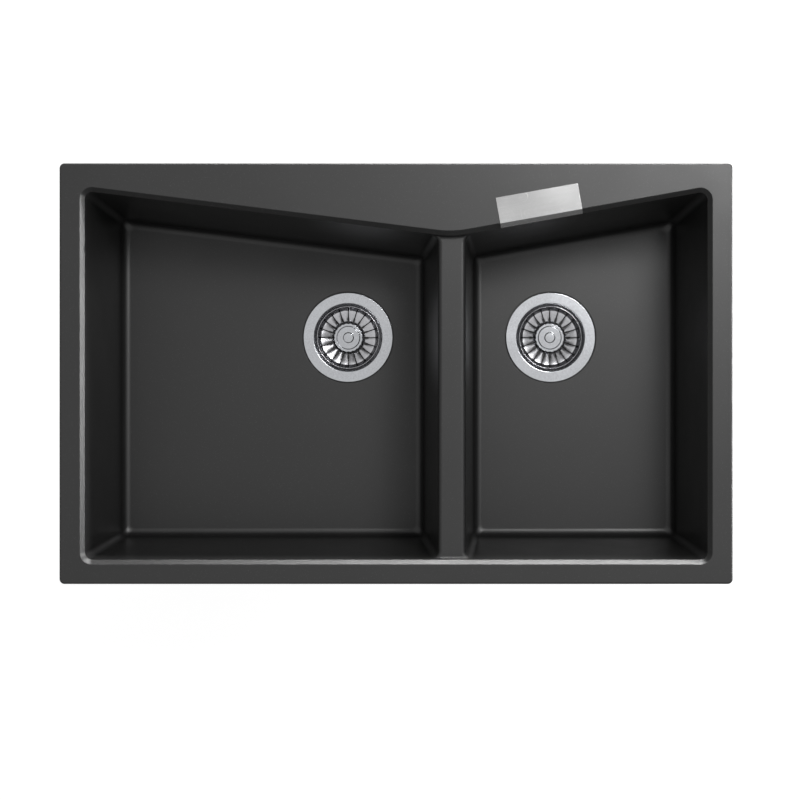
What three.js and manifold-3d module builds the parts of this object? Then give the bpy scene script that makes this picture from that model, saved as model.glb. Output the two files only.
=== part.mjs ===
// Double bowl kitchen sink, moulded in stone composite, with two basket strainer wastes.
// Units are millimetres. +X runs along the sink, +Y points to the tap deck at the back,
// +Z is up. The origin is the middle of the rim, on the worktop's surface (rim underside).

import * as THREE from 'three';
import { mergeVertices } from 'three/addons/utils/BufferGeometryUtils.js';
import Module from 'manifold-3d';

const wasm = await Module();
wasm.setup();

// ---------------------------------------------------------------- driving dimensions

// General
const GAP = 0.3; // clearance between pieces that touch
const THROUGH = 2; // how far a cutting solid runs past the face that it cuts

// Rim and deck
const RIM_LENGTH = 800;
const RIM_DEPTH = 500;
const RIM_THICKNESS = 9;
const RIM_CORNER_RADIUS = 6;
const RIM_EDGE_ROUND = 2.5;
const LAND_SIDE = 23.6; // flat rim left and right of the opening
const LAND_FRONT = 22.8;
const LAND_BACK_CORNER = 25.8; // deck behind the opening's two back corners
const DECK_AT_NOSE = 80.9; // deck where its V points forward, above the divider
const NOSE_RADIUS = 120;
const CUTOUT_LANDING = 10; // rim that lies on the worktop outside the cut-out

// Bowls
const BOWL_DEPTH = 200; // rim top to bowl floor
const WALL = 9;
const DRAFT = THREE.MathUtils.degToRad(4);
const OPENING_ROUND = 6;
const OPENING_CORNER_RADIUS = 15;
const WALL_CORNER_RADIUS = 9;
const FLOOR_CORNER_RADIUS = 6;
const FLOOR_ROUND = 14;

// Divider between the bowls
const DIVIDER_X = 66.6;
const DIVIDER_TOP_WIDTH = 28.7;
const DIVIDER_DROP = 16; // rim top to divider top
const DIVIDER_EDGE_ROUND = 2.5;
const DIVIDER_WEB_WIDTH = 40; // solid bridge that joins the two tubs under the divider's top

// Rim seal
const SEAL_WIDTH = 6;
const SEAL_THICKNESS = 2;
const SEAL_INSET = 5; // rim edge to the seal's centre line

// Tap hole knock-outs, moulded blind from below
const KNOCKOUT_RADIUS = 17.5;
const KNOCKOUT_SKIN = 3;
const KNOCKOUT_BOSS_RADIUS = 26;
const KNOCKOUT_BOSS_HEIGHT = 5;
const TAP_FROM_BACK = 40;
const CONTROL_FROM_TAP = 90; // tap centre to the waste control's centre

// Blank badge plate on the deck, its front lip folded over the opening's rounded edge
const BADGE_LENGTH = 99;
const BADGE_DEPTH = 32;
const BADGE_THICKNESS = 0.8;
const BADGE_FROM_NOSE = 59.5; // along the right back edge
const BADGE_LIP_DROP = 2;

// Waste outlets
const WASTE_Y = 48.7;
const LEFT_WASTE_X = -61.7;
const RIGHT_WASTE_X = 196.9;
const DRAIN_HOLE_RADIUS = 45.5;
const FLANGE_RADIUS = 57;
const FLANGE_THICKNESS = 1.2;
const FLANGE_EDGE_ROUND = 1.6;
const FLANGE_RECESS_CLEARANCE = 1;
const GASKET_THICKNESS = 1;
const GASKET_WIDTH = 9;
const CUP_RADIUS = 43; // inside of the stainless well
const CUP_SHEET = 1;
const CUP_WALL_DEPTH = 27; // bowl floor to the start of the well's cone
const CUP_DEPTH = 40; // bowl floor to the well's lower lip
const SEAT_RADIUS = 33;
const SEAT_DEPTH = 34;
const SEAT_WIDTH = 3;
const SPIDER_ARMS = 4;
const SPIDER_WIDTH = 4;
const SPIDER_THICKNESS = 3;
const SPIDER_HUB_RADIUS = 8;

// Plastic waste body below the bowl
const LOWER_SEAL_THICKNESS = 3;
const BODY_FLANGE_RADIUS = 56;
const BODY_FLANGE_THICKNESS = 4;
const BODY_WALL = 2.6;
const BODY_CUP_DEPTH = 58; // bowl floor to the start of the body's cone
const BODY_CONE_HEIGHT = 12;
const TAIL_RADIUS = 23.9; // G 1 1/2 pipe thread
const TAIL_BORE = 20;
const TAIL_LENGTH = 25;
const BODY_HUB_RADIUS = 9;
const BODY_HUB_HEIGHT = 9;
const BODY_RIB_WIDTH = 4;

// Centre bolt and nut
const BOLT_RADIUS = 3;
const BOLT_HEAD_RADIUS = 6.5;
const BOLT_HEAD_HEIGHT = 5;
const BOLT_SOCKET_RADIUS = 2.6;
const BOLT_SOCKET_DEPTH = 4;
const NUT_RADIUS = 5.6;
const NUT_HEIGHT = 6;
const NUT_SIDES = 6;

// Strainer basket, its cap, stem and seal
const BASKET_SHEET = 1;
const BASKET_RIM_TOP = 3; // below the bowl floor
const BASKET_RIM_ROLL = 1.5;
const BASKET_RIM_CLEARANCE = 1;
const BASKET_SHOULDER_RADIUS = 37;
const BASKET_SHOULDER_DEPTH = 15;
const BASKET_FLOOR_RADIUS = 17;
const BASKET_FLOOR_DEPTH = 22;
const SLOT_COUNT = 20;
const SLOT_WIDTH = 2;
const SLOT_INNER_RADIUS = 19.5;
const SLOT_OUTER_RADIUS = 38;
const CAP_RADIUS = 18.5;
const CAP_THICKNESS = 2.4;
const CAP_TOP_DEPTH = 7; // bowl floor to the cap's top
const CAP_RING_RADIUS = 14.7;
const CAP_BUTTON_RADIUS = 6.4;
const CAP_RING_HEIGHT = 0.5;
const CAP_NECK_RADIUS = 7;
const CAP_POST_RADIUS = 3;
const CAP_POST_LENGTH = 4; // reach of the post into the stem
const STEM_PLATE_RADIUS = 27;
const STEM_PLATE_THICKNESS = 2.4;
const STEM_HUB_RADIUS = 6;
const STOPPER_SEAL_CLEARANCE = 0.6; // seal's edge to the seat's edge
const STOPPER_SEAL_THICKNESS = 3;
const STOPPER_SEAL_GRIP = 4; // seal's overlap under the stem plate's edge

// Rim clips
const CLIP_FRONT_X = [-270, 0, 270];
const CLIP_BACK_X = [-300, -110, 290];
const CLIP_SIDE_Y = 0;
const CLIP_EDGE_CLEARANCE = 0.5; // boss to the cut-out's edge
const CLIP_BOSS_RADIUS = 5.5;
const CLIP_BOSS_HEIGHT = 16;
const INSERT_RADIUS = 3.6;
const INSERT_LENGTH = 10;
const INSERT_DEPTH = 2; // boss end to the insert's end
const SCREW_RADIUS = 2.5;
const SCREW_HEAD_RADIUS = 4.7;
const SCREW_HEAD_HEIGHT = 3.2;
const SCREW_SLOT_WIDTH = 1.2;
const SCREW_ENGAGEMENT = 4; // thread in the insert at rest
const CLIP_TRAVEL = 14; // how far a screw draws its arm up
const ARM_LENGTH = 34;
const ARM_WIDTH = 10;
const ARM_SHEET = 2;
const ARM_TOE_HEIGHT = 8;
const TOE_BELOW_WORKTOP = 42; // rim underside to the toe's top, clip slack

// Facets
const OPENING_CORNER_STEPS = 4;
const NOSE_STEPS = 6;
const FILLET_STEPS = 4;
const EDGE_STEPS = 2;
const BASKET_SIDES = 40; // two facets to a slot's pitch
const ROUND_SIDES = 28;
const HIDDEN_SIDES = 20; // round pieces under the bowls and the basket
const SMALL_SIDES = 12;

// ---------------------------------------------------------------- derived heights

const rimTop = RIM_THICKNESS;
const bowlFloor = rimTop - BOWL_DEPTH;
const tubUnderside = bowlFloor - WALL;
const dividerTop = rimTop - DIVIDER_DROP;
const cutoutHalfLength = RIM_LENGTH / 2 - CUTOUT_LANDING;
const cutoutHalfDepth = RIM_DEPTH / 2 - CUTOUT_LANDING;

// ---------------------------------------------------------------- solids

// A closed geometry as a manifold solid, its shared vertices merged.
function solid(geometry) {
  const bare = geometry.clone();
  bare.deleteAttribute('normal');
  bare.deleteAttribute('uv');
  const merged = mergeVertices(bare);
  const index = merged.index.array;
  const triangles = [];
  for (let i = 0; i < index.length; i += 3) {
    const [a, b, c] = [index[i], index[i + 1], index[i + 2]];
    if (a !== b && b !== c && c !== a) triangles.push(a, b, c);
  }
  const points = merged.attributes.position;
  const [p, q, r] = [new THREE.Vector3(), new THREE.Vector3(), new THREE.Vector3()];
  let volume = 0;
  for (let i = 0; i < triangles.length; i += 3) {
    p.fromBufferAttribute(points, triangles[i]);
    q.fromBufferAttribute(points, triangles[i + 1]);
    r.fromBufferAttribute(points, triangles[i + 2]);
    volume += p.dot(q.cross(r));
  }
  if (volume < 0) triangles.reverse();
  const mesh = new wasm.Mesh({
    numProp: 3,
    vertProperties: new Float32Array(points.array),
    triVerts: new Uint32Array(triangles),
  });
  return new wasm.Manifold(mesh);
}

function geometryOf(manifold) {
  const mesh = manifold.getMesh();
  const geometry = new THREE.BufferGeometry();
  geometry.setAttribute('position', new THREE.BufferAttribute(mesh.vertProperties, 3));
  geometry.setIndex(new THREE.BufferAttribute(mesh.triVerts, 1));
  geometry.computeVertexNormals();
  return geometry;
}

// A solid through a stack of rings, lowest first. Every ring is a closed outline of
// THREE.Vector2, counter-clockwise, with as many points as the others.
function loft(rings) {
  const count = rings[0].outline.length;
  const positions = [];
  for (const { outline, z } of rings) {
    for (const point of outline) positions.push(point.x, point.y, z);
  }
  const triangles = [];
  for (let level = 0; level < rings.length - 1; level++) {
    for (let i = 0; i < count; i++) {
      const a = level * count + i;
      const b = level * count + ((i + 1) % count);
      triangles.push(a, b, b + count, a, b + count, a + count);
    }
  }
  const top = (rings.length - 1) * count;
  for (const [a, b, c] of THREE.ShapeUtils.triangulateShape(rings[0].outline, [])) {
    triangles.push(a, c, b);
  }
  for (const [a, b, c] of THREE.ShapeUtils.triangulateShape(rings.at(-1).outline, [])) {
    triangles.push(top + a, top + b, top + c);
  }
  const geometry = new THREE.BufferGeometry();
  geometry.setAttribute('position', new THREE.Float32BufferAttribute(positions, 3));
  geometry.setIndex(triangles);
  return solid(geometry);
}

// A turned solid about the Z axis. The profile is a list of [radius, z].
function turned(profile, sides) {
  const points = profile.map(([radius, z]) => new THREE.Vector2(radius, z));
  const geometry = new THREE.LatheGeometry(points, sides);
  geometry.rotateX(Math.PI / 2);
  return solid(geometry);
}

function cylinder(radius, bottom, top, sides) {
  const geometry = new THREE.CylinderGeometry(radius, radius, top - bottom, sides);
  geometry.rotateX(Math.PI / 2);
  geometry.translate(0, 0, (bottom + top) / 2);
  return solid(geometry);
}

function ring(outer, inner, bottom, top, sides) {
  const profile = [[inner, bottom], [outer, bottom], [outer, top], [inner, top], [inner, bottom]];
  return turned(profile, sides);
}

function block(low, high) {
  const geometry = new THREE.BoxGeometry(high.x - low.x, high.y - low.y, high.z - low.z);
  geometry.translate((high.x + low.x) / 2, (high.y + low.y) / 2, (high.z + low.z) / 2);
  return solid(geometry);
}

function moved(manifold, x, y, z = 0) {
  return manifold.translate([x, y, z]);
}

function vector(x, y, z) {
  return new THREE.Vector3(x, y, z);
}

// ---------------------------------------------------------------- outlines

// The points of a corner's arc, from the edge that comes in to the edge that goes out.
function cornerArc(before, corner, after, radius, steps) {
  const incoming = corner.clone().sub(before).normalize();
  const outgoing = after.clone().sub(corner).normalize();
  const turn = Math.atan2(incoming.cross(outgoing), incoming.dot(outgoing));
  const tangent = radius * Math.tan(Math.abs(turn) / 2);
  const start = corner.clone().addScaledVector(incoming, -tangent);
  const side = new THREE.Vector2(-incoming.y, incoming.x).multiplyScalar(Math.sign(turn));
  const centre = start.clone().addScaledVector(side, radius);
  const points = [];
  for (let i = 0; i <= steps; i++) {
    points.push(start.clone().rotateAround(centre, (turn * i) / steps));
  }
  return points;
}

// A polygon with every corner rounded. Each corner is {point, radius, steps}.
function roundedOutline(corners) {
  const count = corners.length;
  return corners.flatMap(({ point, radius, steps }, i) => {
    const before = corners[(i + count - 1) % count].point;
    const after = corners[(i + 1) % count].point;
    return cornerArc(before, point, after, radius, steps);
  });
}

// A polygon with every edge moved inward by a distance (outward where it is negative).
function insetPolygon(points, distance) {
  const count = points.length;
  const edges = points.map((point, i) => {
    const direction = points[(i + 1) % count].clone().sub(point).normalize();
    const inward = new THREE.Vector2(-direction.y, direction.x);
    return { origin: point.clone().addScaledVector(inward, distance), direction };
  });
  return edges.map((edge, i) => {
    const previous = edges[(i + count - 1) % count];
    const across = edge.direction.cross(previous.direction);
    const offset = previous.origin.clone().sub(edge.origin);
    const along = offset.cross(previous.direction) / across;
    return edge.origin.clone().addScaledVector(edge.direction, along);
  });
}

function rectangle(length, depth) {
  return [
    new THREE.Vector2(-length / 2, -depth / 2),
    new THREE.Vector2(length / 2, -depth / 2),
    new THREE.Vector2(length / 2, depth / 2),
    new THREE.Vector2(-length / 2, depth / 2),
  ];
}

function roundedRectangle(length, depth, radius, steps) {
  return roundedOutline(rectangle(length, depth).map((point) => ({ point, radius, steps })));
}

// The opening in the rim, where its rounded edge starts: front left, front right,
// back right, nose above the divider, back left.
const openingX = RIM_LENGTH / 2 - LAND_SIDE;
const openingFront = -RIM_DEPTH / 2 + LAND_FRONT;
const openingBack = RIM_DEPTH / 2 - LAND_BACK_CORNER;
const noseY = RIM_DEPTH / 2 - DECK_AT_NOSE;
const OPENING = [
  new THREE.Vector2(-openingX, openingFront),
  new THREE.Vector2(openingX, openingFront),
  new THREE.Vector2(openingX, openingBack),
  new THREE.Vector2(DIVIDER_X, noseY),
  new THREE.Vector2(-openingX, openingBack),
];
const corner = { frontLeft: 0, frontRight: 1, backRight: 2, nose: 3, backLeft: 4 };

// ---------------------------------------------------------------- bowl walls

// The wall's section, top to bottom, as {inset, z}: inset is measured inward from the
// opening's outline. The outer skin of a tub is the same section, offset by its wall.
const wallTop = {
  inset: OPENING_ROUND * Math.cos(DRAFT),
  z: rimTop - OPENING_ROUND + OPENING_ROUND * Math.sin(DRAFT),
};

function wallInset(z, offset) {
  return wallTop.inset + (wallTop.z - z) * Math.tan(DRAFT) - offset / Math.cos(DRAFT);
}

const floorRoundCentre = (() => {
  const z = bowlFloor + FLOOR_ROUND;
  const tangentZ = z - FLOOR_ROUND * Math.sin(DRAFT);
  return { inset: wallInset(tangentZ, 0) + FLOOR_ROUND * Math.cos(DRAFT), z };
})();

function floorRound(offset) {
  const radius = FLOOR_ROUND + offset;
  const section = [];
  for (let i = 0; i <= FILLET_STEPS; i++) {
    const angle = THREE.MathUtils.lerp(DRAFT, Math.PI / 2, i / FILLET_STEPS);
    section.push({
      inset: floorRoundCentre.inset - radius * Math.cos(angle),
      z: floorRoundCentre.z - radius * Math.sin(angle),
    });
  }
  return section;
}

function openingRound() {
  const section = [];
  for (let i = 0; i <= FILLET_STEPS; i++) {
    const angle = ((Math.PI / 2 - DRAFT) * i) / FILLET_STEPS;
    section.push({
      inset: OPENING_ROUND * Math.sin(angle),
      z: rimTop - OPENING_ROUND * (1 - Math.cos(angle)),
    });
  }
  return section;
}

// The bowls' upright corner radius shrinks from the opening to the floor.
function cornerRadius(inset) {
  if (inset < wallTop.inset) return OPENING_CORNER_RADIUS - inset;
  const share = (inset - wallTop.inset) / (floorRoundCentre.inset - wallTop.inset);
  return THREE.MathUtils.lerp(WALL_CORNER_RADIUS, FLOOR_CORNER_RADIUS, share);
}

function openingOutline(inset) {
  const corners = insetPolygon(OPENING, inset).map((point, i) => {
    if (i === corner.nose) return { point, radius: NOSE_RADIUS + inset, steps: NOSE_STEPS };
    return { point, radius: cornerRadius(inset), steps: OPENING_CORNER_STEPS };
  });
  return roundedOutline(corners);
}

// Half of the divider's width where the bowls' walls have a given inset.
const dividerHalfTop = DIVIDER_TOP_WIDTH / 2;
const dividerShoulder = {
  half: dividerHalfTop + DIVIDER_EDGE_ROUND * Math.cos(DRAFT),
  z: dividerTop - DIVIDER_EDGE_ROUND * (1 - Math.sin(DRAFT)),
};
const shoulderInset = wallInset(dividerShoulder.z, 0);

function dividerHalf(inset) {
  return dividerShoulder.half + inset - shoulderInset;
}

// One bowl's four corners at a given inset; the divider face stands upright in plan.
function bowlPolygon(side, inset, offset) {
  const shift = offset / Math.cos(DRAFT);
  const corners = insetPolygon(OPENING, inset);
  const face = DIVIDER_X + side * (dividerHalf(inset + shift) - shift);
  const front = new THREE.Vector2(face, corners[corner.frontLeft].y);
  const outer = corners[side < 0 ? corner.backLeft : corner.backRight];
  const nose = corners[corner.nose];
  const back = outer.clone().lerp(nose, (face - outer.x) / (nose.x - outer.x));
  if (side < 0) return [corners[corner.frontLeft], front, back, outer];
  return [front, corners[corner.frontRight], outer, back];
}

// The space inside both bowls, as one hollow without the divider.
function openingHollow() {
  const rings = [{ outline: openingOutline(0), z: rimTop + THROUGH }];
  for (const { inset, z } of [...openingRound(), ...floorRound(0)]) {
    rings.push({ outline: openingOutline(inset), z });
  }
  return loft(rings.reverse());
}

// The divider as a bar that runs out through the front and back walls, flared at both
// ends to the bowls' upright corners.
function dividerBar() {
  const reach = WALL + THROUGH;
  const barOutline = (half, inset) => {
    const radius = cornerRadius(inset);
    const left = bowlPolygon(-1, inset, 0);
    const right = bowlPolygon(1, inset, 0);
    const shift = half - dividerHalf(inset);
    left[1].x -= shift;
    left[2].x -= shift;
    right[0].x += shift;
    right[3].x += shift;
    const steps = OPENING_CORNER_STEPS;
    const rightFront = cornerArc(right[1], right[0], right[3], radius, steps);
    const rightBack = cornerArc(right[0], right[3], right[2], radius, steps);
    const leftBack = cornerArc(left[3], left[2], left[1], radius, steps);
    const leftFront = cornerArc(left[2], left[1], left[0], radius, steps);
    const away = (point, dy) => new THREE.Vector2(point.x, point.y + dy);
    return [
      away(leftFront.at(-1), -reach),
      away(rightFront[0], -reach),
      ...rightFront,
      ...rightBack,
      away(rightBack.at(-1), reach),
      away(leftBack[0], reach),
      ...leftBack,
      ...leftFront,
    ];
  };
  const rings = [];
  for (let i = 0; i <= EDGE_STEPS; i++) {
    const angle = ((Math.PI / 2 - DRAFT) * i) / EDGE_STEPS;
    const half = dividerHalfTop + DIVIDER_EDGE_ROUND * Math.sin(angle);
    const z = dividerTop - DIVIDER_EDGE_ROUND * (1 - Math.cos(angle));
    rings.push({ outline: barOutline(half, wallInset(z, 0)), z });
  }
  for (const { inset, z } of floorRound(0)) {
    rings.push({ outline: barOutline(dividerHalf(inset), inset), z });
  }
  rings.push({ outline: rings.at(-1).outline, z: bowlFloor - THROUGH });
  return loft(rings.reverse());
}

// The outer skin of one bowl.
function tub(side) {
  const top = RIM_THICKNESS / 2;
  const section = [{ inset: wallInset(top, WALL), z: top }, ...floorRound(WALL)];
  const rings = section.map(({ inset, z }) => {
    const radius = WALL + cornerRadius(Math.max(inset + WALL, wallTop.inset));
    const corners = bowlPolygon(side, inset, WALL).map((point) => {
      return { point, radius, steps: OPENING_CORNER_STEPS };
    });
    return { outline: roundedOutline(corners), z };
  });
  return loft(rings.reverse());
}

// ---------------------------------------------------------------- rim clips' places

const clipReach = CLIP_BOSS_RADIUS + CLIP_EDGE_CLEARANCE;
const clipX = cutoutHalfLength - clipReach;
const clipY = cutoutHalfDepth - clipReach;

// outward is the direction, in plan, from the clip to the cut-out's nearest edge.
const CLIPS = [
  ...CLIP_FRONT_X.map((x, i) => ({ name: `front_clip_${i + 1}`, x, y: -clipY, outward: -Math.PI / 2 })),
  ...CLIP_BACK_X.map((x, i) => ({ name: `back_clip_${i + 1}`, x, y: clipY, outward: Math.PI / 2 })),
  { name: 'left_clip', x: -clipX, y: CLIP_SIDE_Y, outward: Math.PI },
  { name: 'right_clip', x: clipX, y: CLIP_SIDE_Y, outward: 0 },
];

const WASTES = [
  { name: 'left', x: LEFT_WASTE_X, y: WASTE_Y },
  { name: 'right', x: RIGHT_WASTE_X, y: WASTE_Y },
];

const insertBottom = -CLIP_BOSS_HEIGHT + INSERT_DEPTH;
const insertTop = insertBottom + INSERT_LENGTH;
const screwTop = insertBottom + SCREW_ENGAGEMENT;
const screwHoleTop = screwTop + CLIP_TRAVEL + GAP;

// ---------------------------------------------------------------- sink body

const flangeRecess = FLANGE_THICKNESS + GASKET_THICKNESS + 2 * GAP;

function rimSlab() {
  const slab = [{ inset: 0, z: 0 }];
  for (let i = EDGE_STEPS; i >= 0; i--) {
    const angle = (Math.PI / 2) * (i / EDGE_STEPS);
    slab.push({
      inset: RIM_EDGE_ROUND * (1 - Math.sin(angle)),
      z: rimTop - RIM_EDGE_ROUND * (1 - Math.cos(angle)),
    });
  }
  return loft(slab.map(({ inset, z }) => {
    const length = RIM_LENGTH - 2 * inset;
    const depth = RIM_DEPTH - 2 * inset;
    const radius = RIM_CORNER_RADIUS - inset;
    return { outline: roundedRectangle(length, depth, radius, OPENING_CORNER_STEPS), z };
  }));
}

// A band that follows the rim's edge, at a depth from its edge to its centre line.
function rimBand(width, bottom, top) {
  const outline = (inset) => {
    const radius = Math.max(RIM_CORNER_RADIUS - inset, GAP);
    return roundedRectangle(RIM_LENGTH - 2 * inset, RIM_DEPTH - 2 * inset, radius, EDGE_STEPS);
  };
  const shape = new THREE.Shape(outline(SEAL_INSET - width / 2));
  shape.holes.push(new THREE.Path(outline(SEAL_INSET + width / 2)));
  const geometry = new THREE.ExtrudeGeometry(shape, { depth: top - bottom, bevelEnabled: false });
  geometry.translate(0, 0, bottom);
  return solid(geometry);
}

const tapY = RIM_DEPTH / 2 - TAP_FROM_BACK;
const KNOCKOUTS = [{ x: DIVIDER_X, y: tapY }, { x: DIVIDER_X - CONTROL_FROM_TAP, y: tapY }];

function dividerWeb() {
  const frontFace = openingFront + wallInset(0, WALL);
  const backFace = noseY - wallInset(0, WALL);
  const half = DIVIDER_WEB_WIDTH / 2;
  return block(
    vector(DIVIDER_X - half, frontFace, dividerTop - WALL),
    vector(DIVIDER_X + half, backFace, RIM_THICKNESS / 2),
  );
}

function sinkBody() {
  let body = rimSlab().add(tub(-1)).add(tub(1)).add(dividerWeb());
  const middle = RIM_THICKNESS / 2;
  const clipBoss = cylinder(CLIP_BOSS_RADIUS, -CLIP_BOSS_HEIGHT, middle, SMALL_SIDES);
  for (const { x, y } of CLIPS) body = body.add(moved(clipBoss, x, y));
  const knockoutBoss = cylinder(KNOCKOUT_BOSS_RADIUS, -KNOCKOUT_BOSS_HEIGHT, middle, HIDDEN_SIDES);
  for (const { x, y } of KNOCKOUTS) body = body.add(moved(knockoutBoss, x, y));

  body = body.subtract(openingHollow().subtract(dividerBar()));
  body = body.subtract(rimBand(SEAL_WIDTH + 2 * GAP, -THROUGH, SEAL_THICKNESS + GAP));

  const knockoutTop = rimTop - KNOCKOUT_SKIN;
  const knockoutBottom = -KNOCKOUT_BOSS_HEIGHT - THROUGH;
  const knockout = cylinder(KNOCKOUT_RADIUS, knockoutBottom, knockoutTop, HIDDEN_SIDES);
  for (const { x, y } of KNOCKOUTS) body = body.subtract(moved(knockout, x, y));

  const bossEnd = -CLIP_BOSS_HEIGHT - THROUGH;
  const insertHole = cylinder(INSERT_RADIUS + GAP, bossEnd, insertTop + GAP, SMALL_SIDES)
    .add(cylinder(SCREW_RADIUS + GAP, bossEnd, screwHoleTop, SMALL_SIDES));
  for (const { x, y } of CLIPS) body = body.subtract(moved(insertHole, x, y));

  const recessRadius = FLANGE_RADIUS + FLANGE_RECESS_CLEARANCE;
  const recess = cylinder(recessRadius, bowlFloor - flangeRecess, bowlFloor + THROUGH, ROUND_SIDES);
  const hole = cylinder(DRAIN_HOLE_RADIUS, tubUnderside - THROUGH, bowlFloor, ROUND_SIDES);
  for (const { x, y } of WASTES) body = body.subtract(moved(recess.add(hole), x, y));
  return body;
}

function rimSeal() {
  return rimBand(SEAL_WIDTH, 0, SEAL_THICKNESS);
}

// ---------------------------------------------------------------- badge plate

// Bent from sheet: it lies on the deck, then its lip follows the opening's rounded edge.
// Made with x along the edge, y across it (0 where the deck's edge starts to round).
function badgePlate() {
  const bend = (radius, from, to) => {
    const points = [];
    for (let i = 0; i <= FILLET_STEPS; i++) {
      const angle = THREE.MathUtils.lerp(from, to, i / FILLET_STEPS);
      const drop = OPENING_ROUND - radius * Math.cos(angle);
      points.push(new THREE.Vector2(-radius * Math.sin(angle), rimTop - drop));
    }
    return points;
  };
  const inner = OPENING_ROUND + GAP;
  const outer = inner + BADGE_THICKNESS;
  const straight = Math.PI / 2 - DRAFT;
  const lipSlope = new THREE.Vector2(-Math.sin(DRAFT), -Math.cos(DRAFT));
  const outerBend = bend(outer, 0, straight);
  const innerBend = bend(inner, straight, 0);
  const lipOuter = outerBend.at(-1).clone().addScaledVector(lipSlope, BADGE_LIP_DROP);
  const lipInner = innerBend[0].clone().addScaledVector(lipSlope, BADGE_LIP_DROP);
  const backY = BADGE_DEPTH - OPENING_ROUND / 2;
  const section = new THREE.Shape([
    new THREE.Vector2(backY, rimTop + GAP + BADGE_THICKNESS),
    ...outerBend,
    lipOuter,
    lipInner,
    ...innerBend,
    new THREE.Vector2(backY, rimTop + GAP),
  ]);
  const geometry = new THREE.ExtrudeGeometry(section, { depth: BADGE_LENGTH, bevelEnabled: false });
  geometry.rotateX(Math.PI / 2);
  geometry.rotateZ(Math.PI / 2);
  geometry.translate(BADGE_FROM_NOSE, 0, 0);
  return solid(geometry);
}

const rightBackEdge = OPENING[corner.backRight].clone().sub(OPENING[corner.nose]).angle();

// ---------------------------------------------------------------- waste outlet

// Heights here are measured down from the bowl floor (z = 0), about the outlet's axis.

function flangeCup() {
  const top = 0;
  const rimOuter = FLANGE_RADIUS;
  const cupOuter = CUP_RADIUS + CUP_SHEET;
  const throat = SEAT_RADIUS - SEAT_WIDTH;
  const profile = [[rimOuter, top - FLANGE_THICKNESS], [rimOuter, top - FLANGE_THICKNESS / 2]];
  profile.push([rimOuter - FLANGE_THICKNESS / 2, top]);
  for (let i = 0; i <= EDGE_STEPS; i++) {
    const angle = (Math.PI / 2) * (i / EDGE_STEPS);
    const radius = CUP_RADIUS + FLANGE_EDGE_ROUND * (1 - Math.sin(angle));
    profile.push([radius, top - FLANGE_EDGE_ROUND * (1 - Math.cos(angle))]);
  }
  profile.push(
    [CUP_RADIUS, -CUP_WALL_DEPTH],
    [SEAT_RADIUS, -SEAT_DEPTH],
    [throat, -SEAT_DEPTH],
    [throat, -CUP_DEPTH],
    [throat + CUP_SHEET, -CUP_DEPTH],
    [throat + CUP_SHEET, -SEAT_DEPTH - CUP_SHEET],
    [SEAT_RADIUS + CUP_SHEET / 2, -SEAT_DEPTH - CUP_SHEET],
    [cupOuter, -CUP_WALL_DEPTH - CUP_SHEET / 2],
    [cupOuter, top - FLANGE_THICKNESS],
  );
  let cup = turned([...profile, profile[0]], ROUND_SIDES);
  const bottom = -CUP_DEPTH;
  const spiderTop = bottom + SPIDER_THICKNESS;
  cup = cup.add(spider(throat + CUP_SHEET / 2, SPIDER_ARMS, SPIDER_WIDTH, bottom, spiderTop));
  cup = cup.add(cylinder(SPIDER_HUB_RADIUS, bottom, spiderTop, SMALL_SIDES));
  return cup.subtract(cylinder(BOLT_RADIUS + GAP, bottom - THROUGH, THROUGH, SMALL_SIDES));
}

// Flat arms from the axis out to a radius.
function spider(radius, arms, width, bottom, top) {
  const geometry = new THREE.BoxGeometry(radius, width, top - bottom);
  geometry.translate(radius / 2, 0, (top + bottom) / 2);
  let star = solid(geometry);
  for (let i = 1; i < arms; i++) {
    const turnedArm = geometry.clone().rotateZ((2 * Math.PI * i) / arms);
    star = star.add(solid(turnedArm));
  }
  return star;
}

function flangeGasket() {
  const top = -FLANGE_THICKNESS - GAP;
  const outer = FLANGE_RADIUS - GAP;
  return ring(outer, outer - GASKET_WIDTH, top - GASKET_THICKNESS, top, ROUND_SIDES);
}

const lowerSealTop = -WALL - GAP;
const bodyTop = lowerSealTop - LOWER_SEAL_THICKNESS - GAP;
const bodyInner = DRAIN_HOLE_RADIUS;
const bodyConeBottom = -BODY_CUP_DEPTH - BODY_CONE_HEIGHT;
const tailEnd = bodyConeBottom - TAIL_LENGTH;
const bodyHubTop = -CUP_DEPTH - GAP - BODY_HUB_HEIGHT / 3;
const bodyHubBottom = bodyHubTop - BODY_HUB_HEIGHT;

function lowerSeal() {
  const bottom = lowerSealTop - LOWER_SEAL_THICKNESS;
  return ring(BODY_FLANGE_RADIUS, bodyInner, bottom, lowerSealTop, HIDDEN_SIDES);
}

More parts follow.
